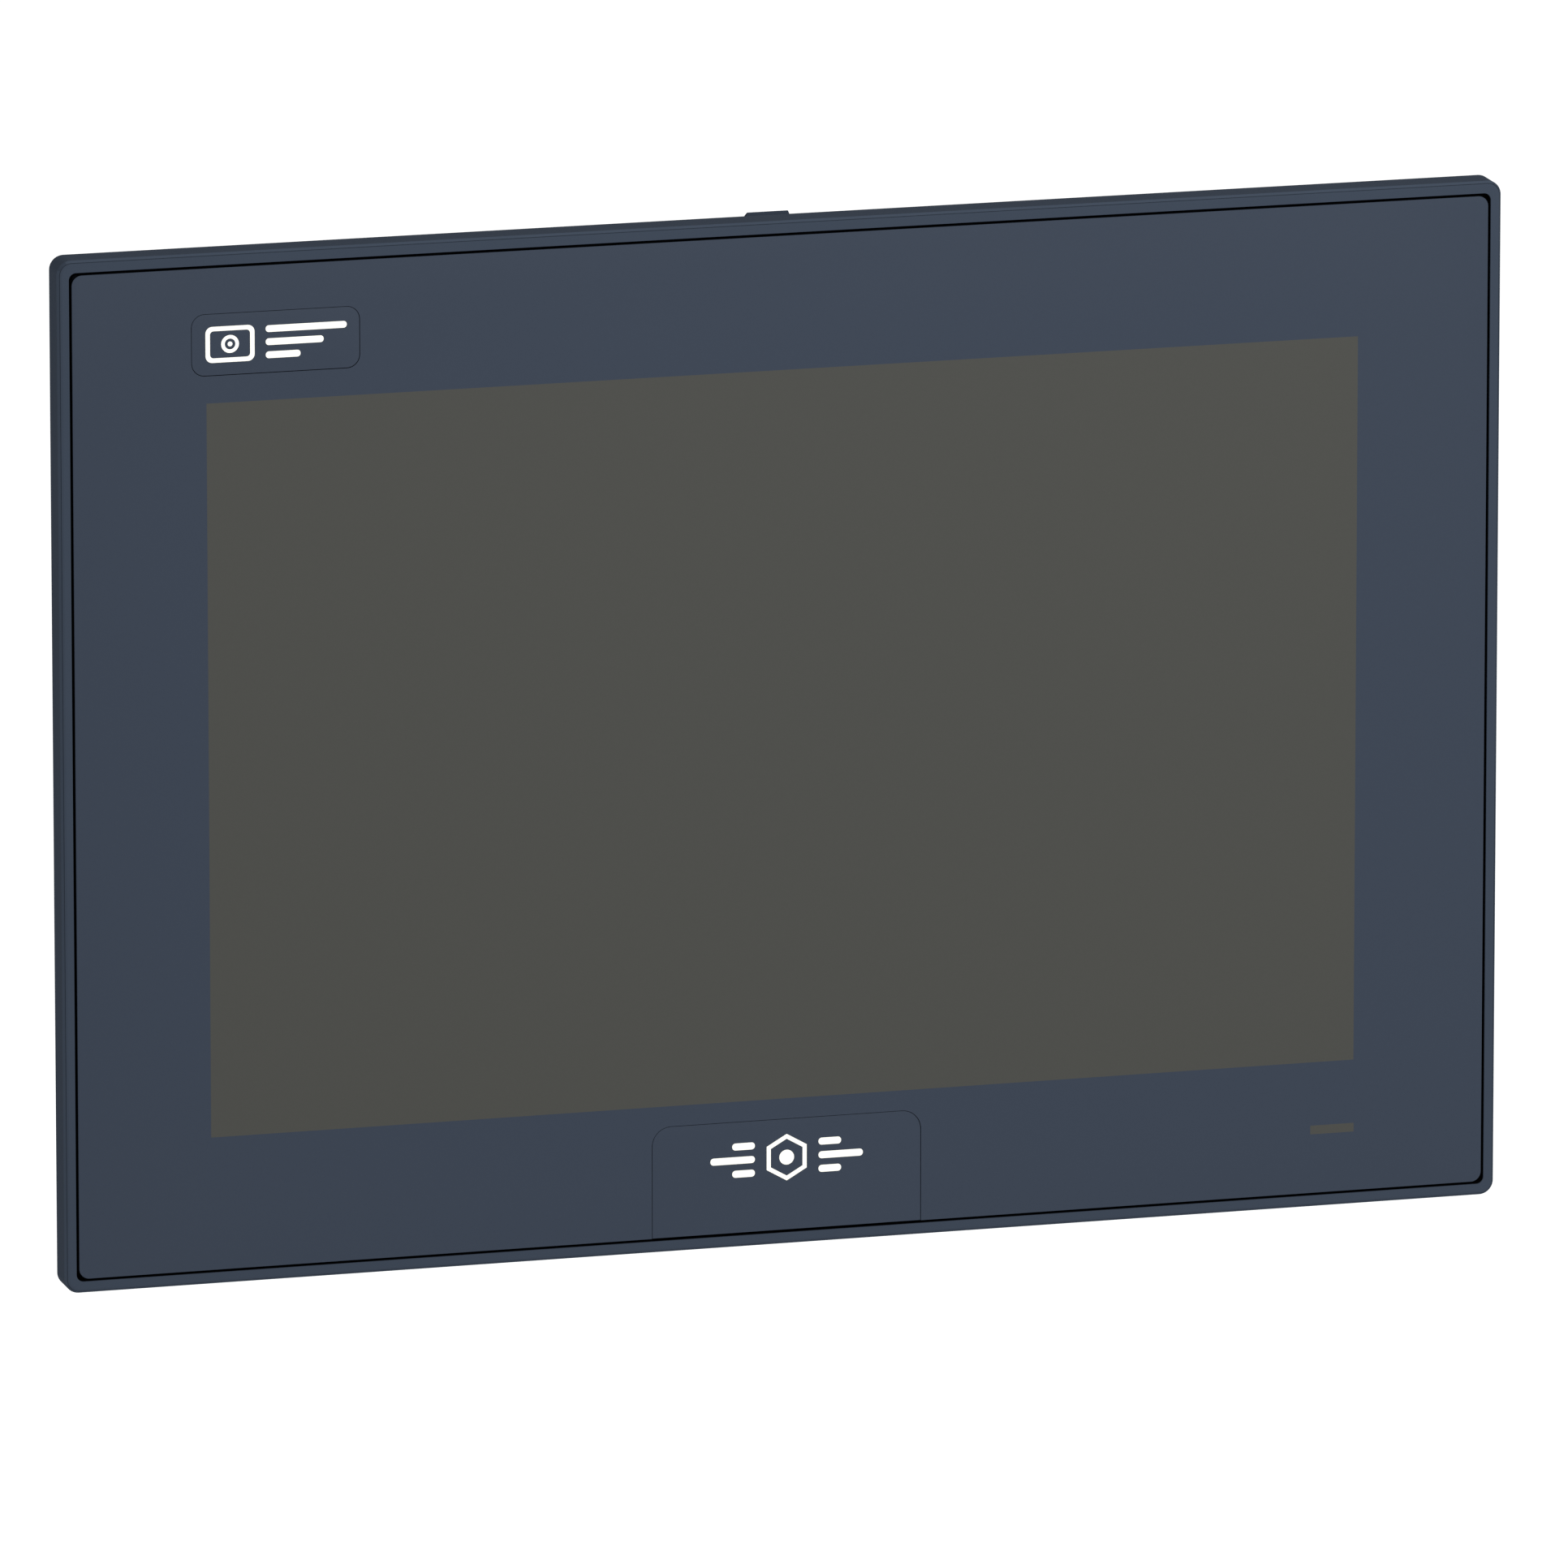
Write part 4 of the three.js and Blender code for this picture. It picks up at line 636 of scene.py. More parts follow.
def sheet_print(name, shapes, y, body, finish):
    """Flat printed shapes with holes, each a list of (x, z) outlines, facing the front."""
    curve = bpy.data.curves.new(name, "CURVE")
    curve.dimensions = "2D"
    curve.fill_mode = "BOTH"
    curve.extrude = PRINT / 2 * MM
    for outline in shapes:
        spline = curve.splines.new("POLY")
        spline.points.add(len(outline) - 1)
        spline.use_cyclic_u = True
        for point, (x, z) in zip(spline.points, outline):
            point.co = (x * MM, z * MM, 0, 1)
    flat = bpy.data.objects.new(name, curve)
    bpy.context.scene.collection.objects.link(flat)
    bpy.context.view_layer.update()
    graph = bpy.context.evaluated_depsgraph_get()
    bm = bmesh.new()
    bm.from_mesh(bpy.data.meshes.new_from_object(flat.evaluated_get(graph)))
    bpy.data.objects.remove(flat)
    bmesh.ops.remove_doubles(bm, verts=bm.verts, dist=0.001 * MM)
    stand = Matrix.Translation((0, y * MM, 0)) @ Matrix.Rotation(math.pi / 2, 4, "X")
    bmesh.ops.transform(bm, matrix=stand, verts=bm.verts)
    return piece(name, bm, body, [finish])


def bar(x, z, corner):
    """A rounded bar's outline for sheet_print."""
    half = ((x[1] - x[0]) / 2, (z[1] - z[0]) / 2)
    points = rounded(*half, corner, 0, (middle(x), middle(z)), steps=6)
    return [(a, c) for a, _, c in points]


def polygon(centre, radius, sides, turn=0.0):
    """A regular polygon's outline for sheet_print."""
    turns = [turn + 2 * math.pi * i / sides for i in range(sides)]
    return [(centre[0] + radius * math.cos(t), centre[1] + radius * math.sin(t)) for t in turns]


# -------- camera, light


def aim(obj, towards):
    """Turns a camera or lamp to look along a direction."""
    obj.rotation_mode = "QUATERNION"
    obj.rotation_quaternion = towards.to_track_quat("-Z", "Y")


def make_camera():
    """A long lens from the front left and above, as far as the perspective asks."""
    azimuth = math.radians(VIEW_AZIMUTH)
    elevation = math.radians(VIEW_ELEVATION)
    level = math.cos(elevation)
    back = Vector((math.sin(azimuth) * level, -math.cos(azimuth) * level, math.sin(elevation)))
    data = bpy.data.cameras.new("camera")
    data.sensor_width = 36
    data.lens = 471.65
    data.shift_x = -0.00173
    data.shift_y = -0.03095
    camera = bpy.data.objects.new("camera", data)
    bpy.context.scene.collection.objects.link(camera)
    camera.location = Vector((0, FRONT * MM, 0)) + back * VIEW_DISTANCE
    aim(camera, -back)
    bpy.context.scene.camera = camera


def make_world():
    """Even white light from all round."""
    world = bpy.data.worlds.new("studio")
    bpy.context.scene.world = world
    world.use_nodes = True
    background = world.node_tree.nodes["Background"]
    background.inputs["Color"].default_value = (1, 1, 1, 1)
    background.inputs["Strength"].default_value = 0.92


def make_sun(name, direction, strength, spread):
    """Light from a direction, as wide as the spread in degrees."""
    data = bpy.data.lights.new(name, "SUN")
    data.energy = strength
    data.angle = math.radians(spread)
    sun = bpy.data.objects.new(name, data)
    bpy.context.scene.collection.objects.link(sun)
    aim(sun, -Vector(direction))


def make_softbox(name, place, target, size, power):
    """A square lamp; its places and its size are in metres."""
    data = bpy.data.lights.new(name, "AREA")
    data.shape = "SQUARE"
    data.size = size
    data.energy = power
    lamp = bpy.data.objects.new(name, data)
    bpy.context.scene.collection.objects.link(lamp)
    lamp.location = place
    aim(lamp, Vector(target) - Vector(place))


def make_floor():
    """A pale floor well below the panel, which hangs as in a cabinet door."""
    bm = bmesh.new()
    corners = [(a * FLOOR_REACH, b * FLOOR_REACH, FLOOR_LEVEL) for a, b in SQUARE]
    bm.faces.new([bm.verts.new(corner) for corner in corners])
    mesh = bpy.data.meshes.new("floor")
    bm.to_mesh(mesh)
    bm.free()
    finish = Finish("floor", (0.9, 0.9, 0.9), 0.9, Specular_IOR_Level=0.0)
    finish.shader.inputs["Emission Color"].default_value = (1, 1, 1, 1)
    finish.shader.inputs["Emission Strength"].default_value = 0.25
    finish.tint(finish.noise(400, 2), 0.01)
    mesh.materials.append(finish.material)
    floor = bpy.data.objects.new("floor", mesh)
    bpy.context.scene.collection.objects.link(floor)


# -------- front


def bezel():
    """The moulded frame: one section swept round the panel, then bosses and slots."""
    outer = (PANEL_X[1], PANEL_Z[1], BEZEL_CORNER)
    pocket = (FILM_X[1] + POCKET_GAP, FILM_Z[1] + POCKET_GAP, POCKET_CORNER)
    core = (pocket[0] - GROOVE_WIDTH, pocket[1] - GROOVE_WIDTH, POCKET_CORNER)
    section = [(outer, -BACK_EDGE * b, -BACK_EDGE * a) for a, b in quarter(3)[::-1]]
    section += [(outer, FRONT + depth, -inset) for inset, depth in BEZEL_EDGE]
    section += [(pocket, FRONT + RIM_EDGE * b, RIM_EDGE * a) for a, b in quarter(4)[::-1]]
    section += [(pocket, GROOVE_SHADE_FROM, 0), (pocket, GROOVE_FLOOR, 0)]
    section += [(core, GROOVE_FLOOR, 0), (core, POCKET_FLOOR, 0)]
    section += [(SENSOR_POCKET, POCKET_FLOOR, 0), (SENSOR_POCKET, SENSOR_FLOOR, 0)]
    section += [(SHELF, SENSOR_FLOOR, 0), (SHELF, SHELF_BACK, 0)]
    section += [(DISPLAY_POCKET, SHELF_BACK, 0), (DISPLAY_POCKET, 0, 0)]
    section += [(SEAL_INNER, 0, 0), (SEAL_INNER, SEAL_FLOOR, 0)]
    section += [(SEAL_OUTER, SEAL_FLOOR, 0), (SEAL_OUTER, 0, 0)]
    rings = [
        rounded(half_x + grow, half_z + grow, corner + grow, depth)
        for (half_x, half_z, corner), depth, grow in section
    ]
    bm = loft(bmesh.new(), rings, "round")
    finishes = ["bezel_plastic", "painted_gap_shade", "bezel_painted_highlight"]
    obj = stand_in("front_bezel", "moulding", bm, finishes)

    bosses = bmesh.new()
    for place in BOSS_PLACES:
        rim = turned_edge(BOSS_RADIUS, BOSS_HEIGHT, BOSS_EDGE, 1)
        boss = [(AXIS, BOSS_ROOT), (BOSS_RADIUS, BOSS_ROOT), *rim, (AXIS, BOSS_HEIGHT)]
        lathe(bosses, boss, place, sides=SMALL_SIDES)
    carve(obj, bosses, "UNION")
    cuts = bmesh.new()
    near, far = BORE_Y
    for place in BOSS_PLACES:
        bore = [(AXIS, near), (BOSS_BORE, near), (BOSS_BORE, far), (AXIS, far)]
        lathe(cuts, bore, place, sides=SMALL_SIDES)
    box(cuts, TAIL_SLOT_X, (SENSOR_FLOOR - OVERCUT, SLOT_BACK), TAIL_SLOT_Z)
    light_z = (LIGHT_Z[0] - LIGHT_MARGIN, LIGHT_Z[1] + LIGHT_MARGIN)
    box(cuts, LIGHT_X, (FRONT, SLOT_BACK), light_z)
    carve(obj, cuts)

    def column(shape, grow, y=ANY):
        """A test for a place inside a shape's width and height, grown by so much."""
        half_x = shape[0] + grow
        half_z = shape[1] + grow
        return within((-half_x, half_x), y, (-half_z, half_z))

    # Painted shade: the groove's deeper walls get the near-black second finish, where shade falls.
    walls = column(pocket, HAIR, (GROOVE_SHADE_FROM, GROOVE_FLOOR + HAIR))
    inside = column(core, -HAIR)
    painted(obj, 1, lambda *place: walls(*place) and not inside(*place))
    # Painted highlight: the steep facet of the front edge gets the lighter third finish.
    (_, side), (facet_end, _), (_, crease) = BEZEL_EDGE[:3]
    facet = within(ANY, (FRONT + crease + HAIR, FRONT + side - HAIR), ANY)
    flat = column(outer, -facet_end - HAIR)
    painted(obj, 2, lambda *place: facet(*place) and not flat(*place))
    even_normals(shaded(obj, SWEPT))


def film():
    """The printed film, with the display's window, the light's window and two recesses."""
    bm = slab(bmesh.new(), FILM_X, FILM_Y, FILM_Z, FILM_CORNER, FILM_EDGE)
    for window_x, window_z in WINDOWS:
        for x in window_x:
            sliced(bm, (x, 0, 0), (1, 0, 0))
        for z in window_z:
            sliced(bm, (0, 0, z), (0, 0, 1))
    finishes = ["front_film", "display_window", "painted_gap_shade"]
    obj = piece("front_film", bm, "housing", finishes, ["front_overlay"])
    recess = (FRONT - 1, FRONT + LABEL_DEPTH)
    for node, corner, runout in LABELS:
        x, _, z = extent(node)
        x = (x[0] - LABEL_MARGIN, x[1] + LABEL_MARGIN)
        z = (z[0] - LABEL_MARGIN - runout, z[1] + LABEL_MARGIN)
        carve(obj, slab(bmesh.new(), x, recess, z, corner))
    # Painted shade: the film's cut edge, its back and its recess walls get the near-black third
    # finish.
    painted(obj, 2, within(ANY, (FRONT + FILM_EDGE + HAIR, 0), ANY))
    shown = (FRONT - HAIR, FRONT + HAIR)
    tests = [within(x, shown, z) for x, z in WINDOWS]
    painted(obj, 1, lambda *place: any(test(*place) for test in tests))
    shaded(obj)


def label(node, corner, runout):
    """A label in its recess, a hair behind the film's face, with a soft edge."""
    x, y, z = extent(node)
    y = (FRONT + LABEL_STEP, y[1])
    bm = slab(bmesh.new(), x, y, (z[0] - runout, z[1]), corner - LABEL_MARGIN, LABEL_EDGE)
    if runout:
        cut = sliced(bm, (0, 0, z[0]), (0, 0, -1), clear_outer=True)
        edges = [e for e in cut["geom_cut"] if isinstance(e, bmesh.types.BMEdge)]
        bmesh.ops.contextual_create(bm, geom=edges)
    shaded(stand_in(node, "plate", bm, ["label_film"]))


def badge_mark():
    """A generic pictogram: a display with a touch ring, and three bars, the longest on top."""
    y = FRONT + LABEL_STEP - PRINT / 2
    x, _, z = extent("badge_label")
    left = x[0] + 3.1
    right = left + 11
    low = middle(z) - 4
    high = middle(z) + 4
    line = 1
    shapes = [
        bar((left, right), (low, high), 1.5),
        bar((left + line, right - line), (low + line, high - line), 0.8),
    ]
    for radius, sides in ((2.0, 24), (1.2, 24), (0.55, 16)):
        shapes.append(polygon((left + 5.5, middle(z)), radius, sides))
    start = right + 2.5
    half = 0.75
    pitch = 2.9
    for row, length in enumerate((18.2, 13.0, 7.8)):
        level = high - 1.1 - row * pitch
        shapes.append(bar((start, start + length), (level - half, level + half), 0.7))
    sheet_print("badge_mark", shapes, y, "housing", "white_print")


def logo_mark():
    """A generic emblem: a hexagon with a dot between two stacks of bars."""
    y = FRONT + LABEL_STEP - PRINT / 2
    shapes = [polygon(LOGO_CENTRE, radius, 6, math.pi / 6) for radius in (5.3, 4.2)]
    shapes.append(polygon(LOGO_CENTRE, 1.7, 24))
    start = 7.3
    half = 0.8
    pitch = 3.1
    for side in (-1, 1):
        for row, reach in ((-1, 12.5), (0, 17.5), (1, 12.5)):
            z = LOGO_CENTRE[1] + row * pitch
            near, far = sorted((side * start, side * reach))
            shapes.append(bar((near, far), (z - half, z + half), 0.75))
    sheet_print("logo_mark", shapes, y, "housing", "white_print")


def gasket():
    """The seal in its groove, with a rounded crown."""
    inner = [half + SEAL_GAP for half in SEAL_INNER[:2]]
    width = SEAL_OUTER[0] - SEAL_INNER[0] - 2 * SEAL_GAP
    low = SEAL_FLOOR + SEAL_GAP
    high = 1.0
    crown = 0.9
    steps = 8
    section = [(0, low)]
    for step in range(steps + 1):
        share = step / steps
        section.append((width * share, high - crown + crown * math.sin(math.pi * share)))
    section.append((width, low))
    rings = [
        rounded(inner[0] + across, inner[1] + across, SEAL_INNER[2] + across / 2, depth)
        for across, depth in section
    ]
    bm = loft(bmesh.new(), rings, "round")
    shaded(stand_in("panel_gasket", "seal", bm, ["gasket_rubber"]))


# -------- fasteners


def screw_head(bm, place, seat, radius, height):
    """A cheese head on its seat; faces the back."""
    rim = turned_edge(radius, seat + height, min(0.5, height / 3), 1)
    lathe(bm, [(AXIS, seat), (radius, seat), *rim, (AXIS, seat + height)], place)


def cross(place, top, reach, width, depth):
    """The cutter of a cross recess in a head that faces the back; it narrows inwards."""
    above = 0.5
    narrowed = 0.7
    rings = []
    for y, share in ((top + above, 1.0), (top - depth, narrowed)):
        far = reach * share
        near = width / 2 * share
        ring = []
        for quadrant in range(4):
            turn = Matrix.Rotation(quadrant * math.pi / 2, 2)
            for spot in ((near, near), (near, far), (-near, far)):
                x, z = turn @ Vector(spot)
                ring.append((place[0] + x, y, place[1] + z))
        rings.append(ring)
    return loft(bmesh.new(), rings)


def small_screws(name, places, seat, head, body, washer=0.0):
    """Cross-head screws, all alike, that face the back."""
    radius, height = head
    under = seat + (WASHER if washer else 0)
    bm = bmesh.new()
    for place in places:
        if washer:
            rim = turned_edge(washer, under, 0.15, 1, 2)
            lathe(bm, [(AXIS, seat), (washer, seat), *rim, (AXIS, under)], place)
        screw_head(bm, place, under, radius, height)
    obj = piece(name, bm, body, ["zinc_steel"])
    reach, width, depth = SMALL_CROSS
    for place in places:
        cutter = cross(place, under + height, radius * reach, radius * width, height * depth)
        carve(obj, cutter)
    return shaded(obj)


def thread(radius, depth, pitch, low, high, place):
    """Rings of a screw's thread about the Y axis, from low to high."""
    rings = []
    per_turn = 8
    sides = SMALL_SIDES
    count = round((high - low) / pitch * per_turn)
    for i in range(count + 1):
        y = low + (high - low) * i / count
        ring = []
        for j in range(sides):
            share = ((y - low) / pitch + j / sides) % 1
            r = radius - depth * abs(2 * share - 1)
            turn = 2 * math.pi * j / sides
            ring.append((place[0] + r * math.cos(turn), y, place[1] + r * math.sin(turn)))
        rings.append(ring)
    return rings


def clamp_screw(number, place):
    """Threaded screw of a clamp: riveted collar in front, cross head behind."""
    node = f"clamp_screw_{number}"
    _, (tip, top), _ = extent(node)
    radius = 3.6
    chamfer = 0.25
    head = top - 2.7
    rim = turned_edge(radius, top, 0.5, 1)
    profile = [(AXIS, head), (radius - chamfer, head), (radius, head + chamfer)]
    bm = lathe(bmesh.new(), [*profile, *rim, (AXIS, top)], place)
    obj = stand_in(node, "head", bm, ["steel"])
    carve(obj, cross(place, top, *CLAMP_CROSS))
    shaded(obj, TURNED)
    collar = 4.4
    back = tip + 1
    profile = [(AXIS, tip), *turned_edge(collar, tip, chamfer, -1, 3)[::-1]]
    profile += [*turned_edge(collar, back, chamfer, 1, 3), (AXIS, back)]
    bm = lathe(bmesh.new(), profile, place)
    loft(bm, thread(*CLAMP_THREAD, back - 0.1, head + 0.2, place))
    shaded(stand_in(node, "shank", bm, ["steel"]), TURNED)


def clamp_bush(number, place):
    """The brass bush that rides on a clamp's screw, with its flange at the back."""
    node = f"clamp_bush_{number}"
    _, (low, high), _ = extent(node)
    bore = 2.35
    barrel = 3.4
    flange = 5.0
    step = high - 0.8
    edge = 0.2
    fine = 0.15
    profile = [(bore, low + edge), (bore + edge, low), (barrel - edge, low)]
    profile += [(barrel, low + edge), (barrel, step), (flange - fine, step)]
    profile += [(flange, step + fine), (flange, high - fine), (flange - fine, high)]
    profile += [(bore + fine, high), (bore, high - fine)]
    bm = lathe(bmesh.new(), profile, place, closed=True)
    shaded(stand_in(node, "turned", bm, ["brass"]), TURNED)


def clamps():
    """The screw, bush and arm of each of the four clamps."""
    for number, place in CLAMPS.items():
        clamp_screw(number, place)
        clamp_bush(number, place)
        refined(f"clamp_arm_{number}", ["zinc_steel"], 0.35, weld=ARM_LEDGE)


def earth_screw():
    """A cross head on its washer, and a shank through the tray's wall."""
    node = "earth_screw"
    x, (_, top), z = extent(node)
    place = (middle(x), middle(z))
    wall = TRAY_BACK + 0.3
    back = wall + 1
    washer = 5
    radius = 3.8
    profile = [(AXIS, wall), (washer, wall), *turned_edge(washer, back, 0.2, 1, 2)]
    profile += [(radius, back), *turned_edge(radius, top, 0.6, 1), (AXIS, top)]
    obj = stand_in(node, "head", lathe(bmesh.new(), profile, place), ["zinc_steel"])
    carve(obj, cross(place, top, *EARTH_CROSS))
    shaded(obj, TURNED)
    shank = loft(bmesh.new(), thread(*EARTH_THREAD, wall - 7, wall + 0.1, place))
    shaded(stand_in(node, "shank", shank, ["zinc_steel"]), TURNED)


def catch_spring():
    """Round wire wound round the catch's axis."""
    _, _, (low, high) = extent("catch_spring")
    turns = 6
    wire = 0.32
    radius = 1.6
    centre_y = 10.8
    steps = turns * 32
    sides = 10
    rings = []
    for i in range(steps + 1):
        share = i / steps
        turn = share * turns * 2 * math.pi
        out = Vector((math.cos(turn), math.sin(turn), 0))
        rise = (high - low - 2 * wire) / (turns * 2 * math.pi)
        ahead = Vector((-radius * out.y, radius * out.x, rise)).normalized()
        side = ahead.cross(out)
        level = low + wire + share * (high - low - 2 * wire)
        spot = Vector((0, centre_y, level)) + radius * out
        ring = []
        for j in range(sides):
            phase = 2 * math.pi * j / sides
            ring.append(spot + wire * (math.cos(phase) * out + math.sin(phase) * side))
        rings.append(ring)
    bm = loft(bmesh.new(), rings)
    obj = stand_in("catch_spring", "wire", bm, ["steel"])
    shaded(obj)
    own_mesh(obj)


# -------- back


def housing():
    """The tray, the catch, the rear cover with its screws, and the door on its pin."""
    refined("tray_housing", ["housing_plastic"], 0.3)
    refined("drop_catch", ["bezel_plastic"], 0.12)
    refined("rear_cover", ["housing_plastic"], 0.25)
    refined("service_door", ["housing_plastic"], 0.25)
    small_screws("cover_screws", EAR_PLACES, LIP_BACK, COVER_SCREW, "housing", COVER_WASHER)
    small_screws("tray_screws", BOSS_PLACES, TRAY_BACK, TRAY_SCREW, "housing")
    x, y, (low, high) = extent("door_hinge_pin")
    radius = 1.05
    chamfer = 0.2
    profile = [(AXIS, low), (radius - chamfer, low), (radius, low + chamfer)]
    profile += [(radius, high - chamfer), (radius - chamfer, high), (AXIS, high)]
    bm = lathe(bmesh.new(), profile, (middle(x), middle(y)), axis="z", sides=24)
    shaded(stand_in("door_hinge_pin", "turned", bm, ["steel"]), TURNED)


def rating_plate():
    """A blank plate: printed frame lines and three short bars."""
    x, y, z = extent("rating_plate")
    bm = slab(bmesh.new(), x, y, z, corner=1.5, back_edge=0.08)
    shaded(stand_in("rating_plate", "film", bm, ["plate_film"]))
    marks = bmesh.new()
    face = (y[1], y[1] + 0.02)
    half_line = 0.2
    margin = 2
    row = 9
    left, right = x[0] + margin, x[1] - margin
    low, high = z[0] + margin, z[1] - margin
    for level in (low, low + row, low + 2 * row, high):
        box(marks, (left, right), face, (level - half_line, level + half_line))
    for column in (left, middle(x) + 4, right):
        box(marks, (column - half_line, column + half_line), face, (low, high))
    half_bar = 0.6
    for i in range(3):
        level = high - 3.4 - 2.4 * i
        box(marks, (left + 2, left + 16 - 3 * i), face, (level - half_bar, level + half_bar))
    piece("rating_plate_print", marks, "housing", ["black_plastic"])


# -------- electronics


def electronics():
    """Chassis, display, boards and what is fitted on them."""
    for node in ("chassis_plate", "display_bracket_left", "display_bracket_right"):
        refined(node, ["zinc_steel"], 0.15)
    refined("display_frame", ["steel"], 0.1)
    refined("backlight_unit", ["white_plastic"], 0.1)
    heatsink()
    refined("processor", ["chip_plastic"], 0.15)
    board = refined("main_board", ["circuit_board", "chip_plastic", "steel", "white_plastic"], 0.1)
    _, (plug_front, _), _ = extent("main_board")
    behind = (BOARD_FACES[1], 100)
    painted(board, 1, within(ANY, behind, ANY))
    painted(board, 2, within(CAPACITORS_X, behind, CAPACITORS_Z))
    painted(board, 3, within(ANY, (plug_front - 1, BOARD_FACES[0]), ANY))
    service = refined("service_board", ["circuit_board", "black_plastic"], 0.12)
    painted(service, 1, within(ANY, (0, SERVICE_FRONT), ANY))
    refined("dip_switch_body", ["switch_red"], 0.15)
    for way in range(1, 5):
        refined(f"dip_slider_{way}", ["white_plastic"], 0.12)
    refined("battery_holder", ["black_plastic"], 0.2)
    coin_battery()
    refined("status_light_pipe", ["light_pipe"], 0.1)
    refined("status_light_board", ["circuit_board"], 0.1)


def heatsink():
    """A base plate with a foot on the processor and a row of fins, each with a soft crest."""
    x, (foot, crest), z = extent("heatsink")
    bm = bmesh.new()
    foot_y = (foot, SINK_BASE[0] + SINK_JOIN)
    slab(bm, (-SINK_FOOT, SINK_FOOT), foot_y, SINK_FOOT_Z, corner=0.5, front_edge=0.15)
    slab(bm, x, SINK_BASE, z, corner=2.0, front_edge=0.2, back_edge=0.3)
    first = middle(x) - (FIN_COUNT - 1) * FIN_PITCH / 2
    for i in range(FIN_COUNT):
        place = first + i * FIN_PITCH
        fin = (place - FIN_THICKNESS / 2, place + FIN_THICKNESS / 2)
        slab(bm, fin, (SINK_BASE[1] - SINK_JOIN, crest), FIN_Z, corner=0.1, back_edge=0.35)
    shaded(stand_in("heatsink", "extrusion", bm, ["heatsink_aluminium"]), ROUNDED)


def coin_battery():
    """A can on its narrower lid, which faces the front, with a plus sign at the back."""
    x, (low, high), z = extent("coin_battery")
    place = (middle(x), middle(z))
    radius = (x[1] - x[0]) / 2
    lid = radius - 1.2
    step = low + 0.7
    chamfer = 0.15
    profile = [(AXIS, low), *turned_edge(lid, low, 0.2, -1, 3)[::-1], (lid, step)]
    profile += [(radius - chamfer, step), (radius, step + chamfer)]
    profile += [*turned_edge(radius, high, 0.35, 1), (AXIS, high)]
    bm = lathe(bmesh.new(), profile, place, sides=64)
    obj = stand_in("coin_battery", "can", bm, ["battery_steel"])
    carve(obj, cross(place, high, *PLUS_SIGN))
    shaded(obj, TURNED)


# -------- connectors


def connectors():
    """Everything a cable, a card or a pin goes into."""
    refined("power_inlet", ["black_plastic"], 0.15)
    refined("power_plug", ["terminal_plastic"], 0.2)
    for pole in (1, 2, 3):
        terminal_screw(f"terminal_screw_{pole}")
    serial_port()
    network_ports()
    usb_ports()
    refined("card_socket", ["port_metal"], 0.12)
    refined("memory_card", ["black_plastic"], 0.15)
    refined("reset_switch", ["black_plastic"], 0.15)
    reset_button()


def terminal_screw(node):
    """A slotted screw of the power plug."""
    x, (low, high), z = extent(node)
    radius = (x[1] - x[0]) / 2
    place = (middle(x), middle(z))
    rim = turned_edge(radius, high, 0.2, 1, 3)
    profile = [(AXIS, low), (radius, low), *rim, (AXIS, high)]
    bm = lathe(bmesh.new(), profile, place, sides=SMALL_SIDES)
    obj = stand_in(node, "turned", bm, ["zinc_steel"])
    half = 0.3
    depth = 0.8
    beyond = 1
    slot_z = (place[1] - half, place[1] + half)
    slot_y = (high - depth, high + beyond)
    carve(obj, box(bmesh.new(), (x[0] - beyond, x[1] + beyond), slot_y, slot_z))
    shaded(obj, TURNED)


def serial_port():
    """Shell and pins from CAD, a second row of pins and two locking posts."""
    x, _, (mouth, _) = extent("serial_port")
    port = refined("serial_port", ["port_metal", "black_plastic", "contact_gold"], 0.12)
    floor = mouth + SERIAL_DEPTH
    insulator = -66.6  # the port is its insulator from here on
    pin_row = (29.6, 30.9)
    painted(port, 1, within(ANY, ANY, (floor - 0.1, floor + 0.1)))
    painted(port, 1, within(ANY, ANY, (insulator, 0)))
    painted(port, 2, within(ANY, pin_row, (mouth + 0.9, floor - 0.1)))
    pins = bmesh.new()
    radius = 0.5
    tip = mouth + 1
    profile = [(AXIS, tip), (radius - 0.2, tip), (radius, tip + 0.4)]
    profile += [(radius, floor), (AXIS, floor)]
    for i in range(4):
        place = (middle(x) + (i - 1.5) * 2.77, SERIAL_CENTRE - 1.4)
        lathe(pins, profile, place, axis="z", sides=16)
    shaded(piece("serial_pins", pins, "housing", ["contact_gold"]))
    posts = bmesh.new()
    bore = 1.2
    post = 2.8
    end = -75.4
    bottom = -71
    root = -70
    profile = [(bore, bottom), (bore, end + 0.2), (bore + 0.2, end), (post - 0.3, end)]
    profile += [(post, end + 0.3), (post, root), (bore / 2, root), (bore / 2, bottom)]
    for side in (-1, 1):
        place = (middle(x) + side * 12.5, SERIAL_CENTRE)
        lathe(posts, profile, place, axis="z", sides=6, closed=True)
    shaded(piece("serial_posts", posts, "housing", ["zinc_steel"]))


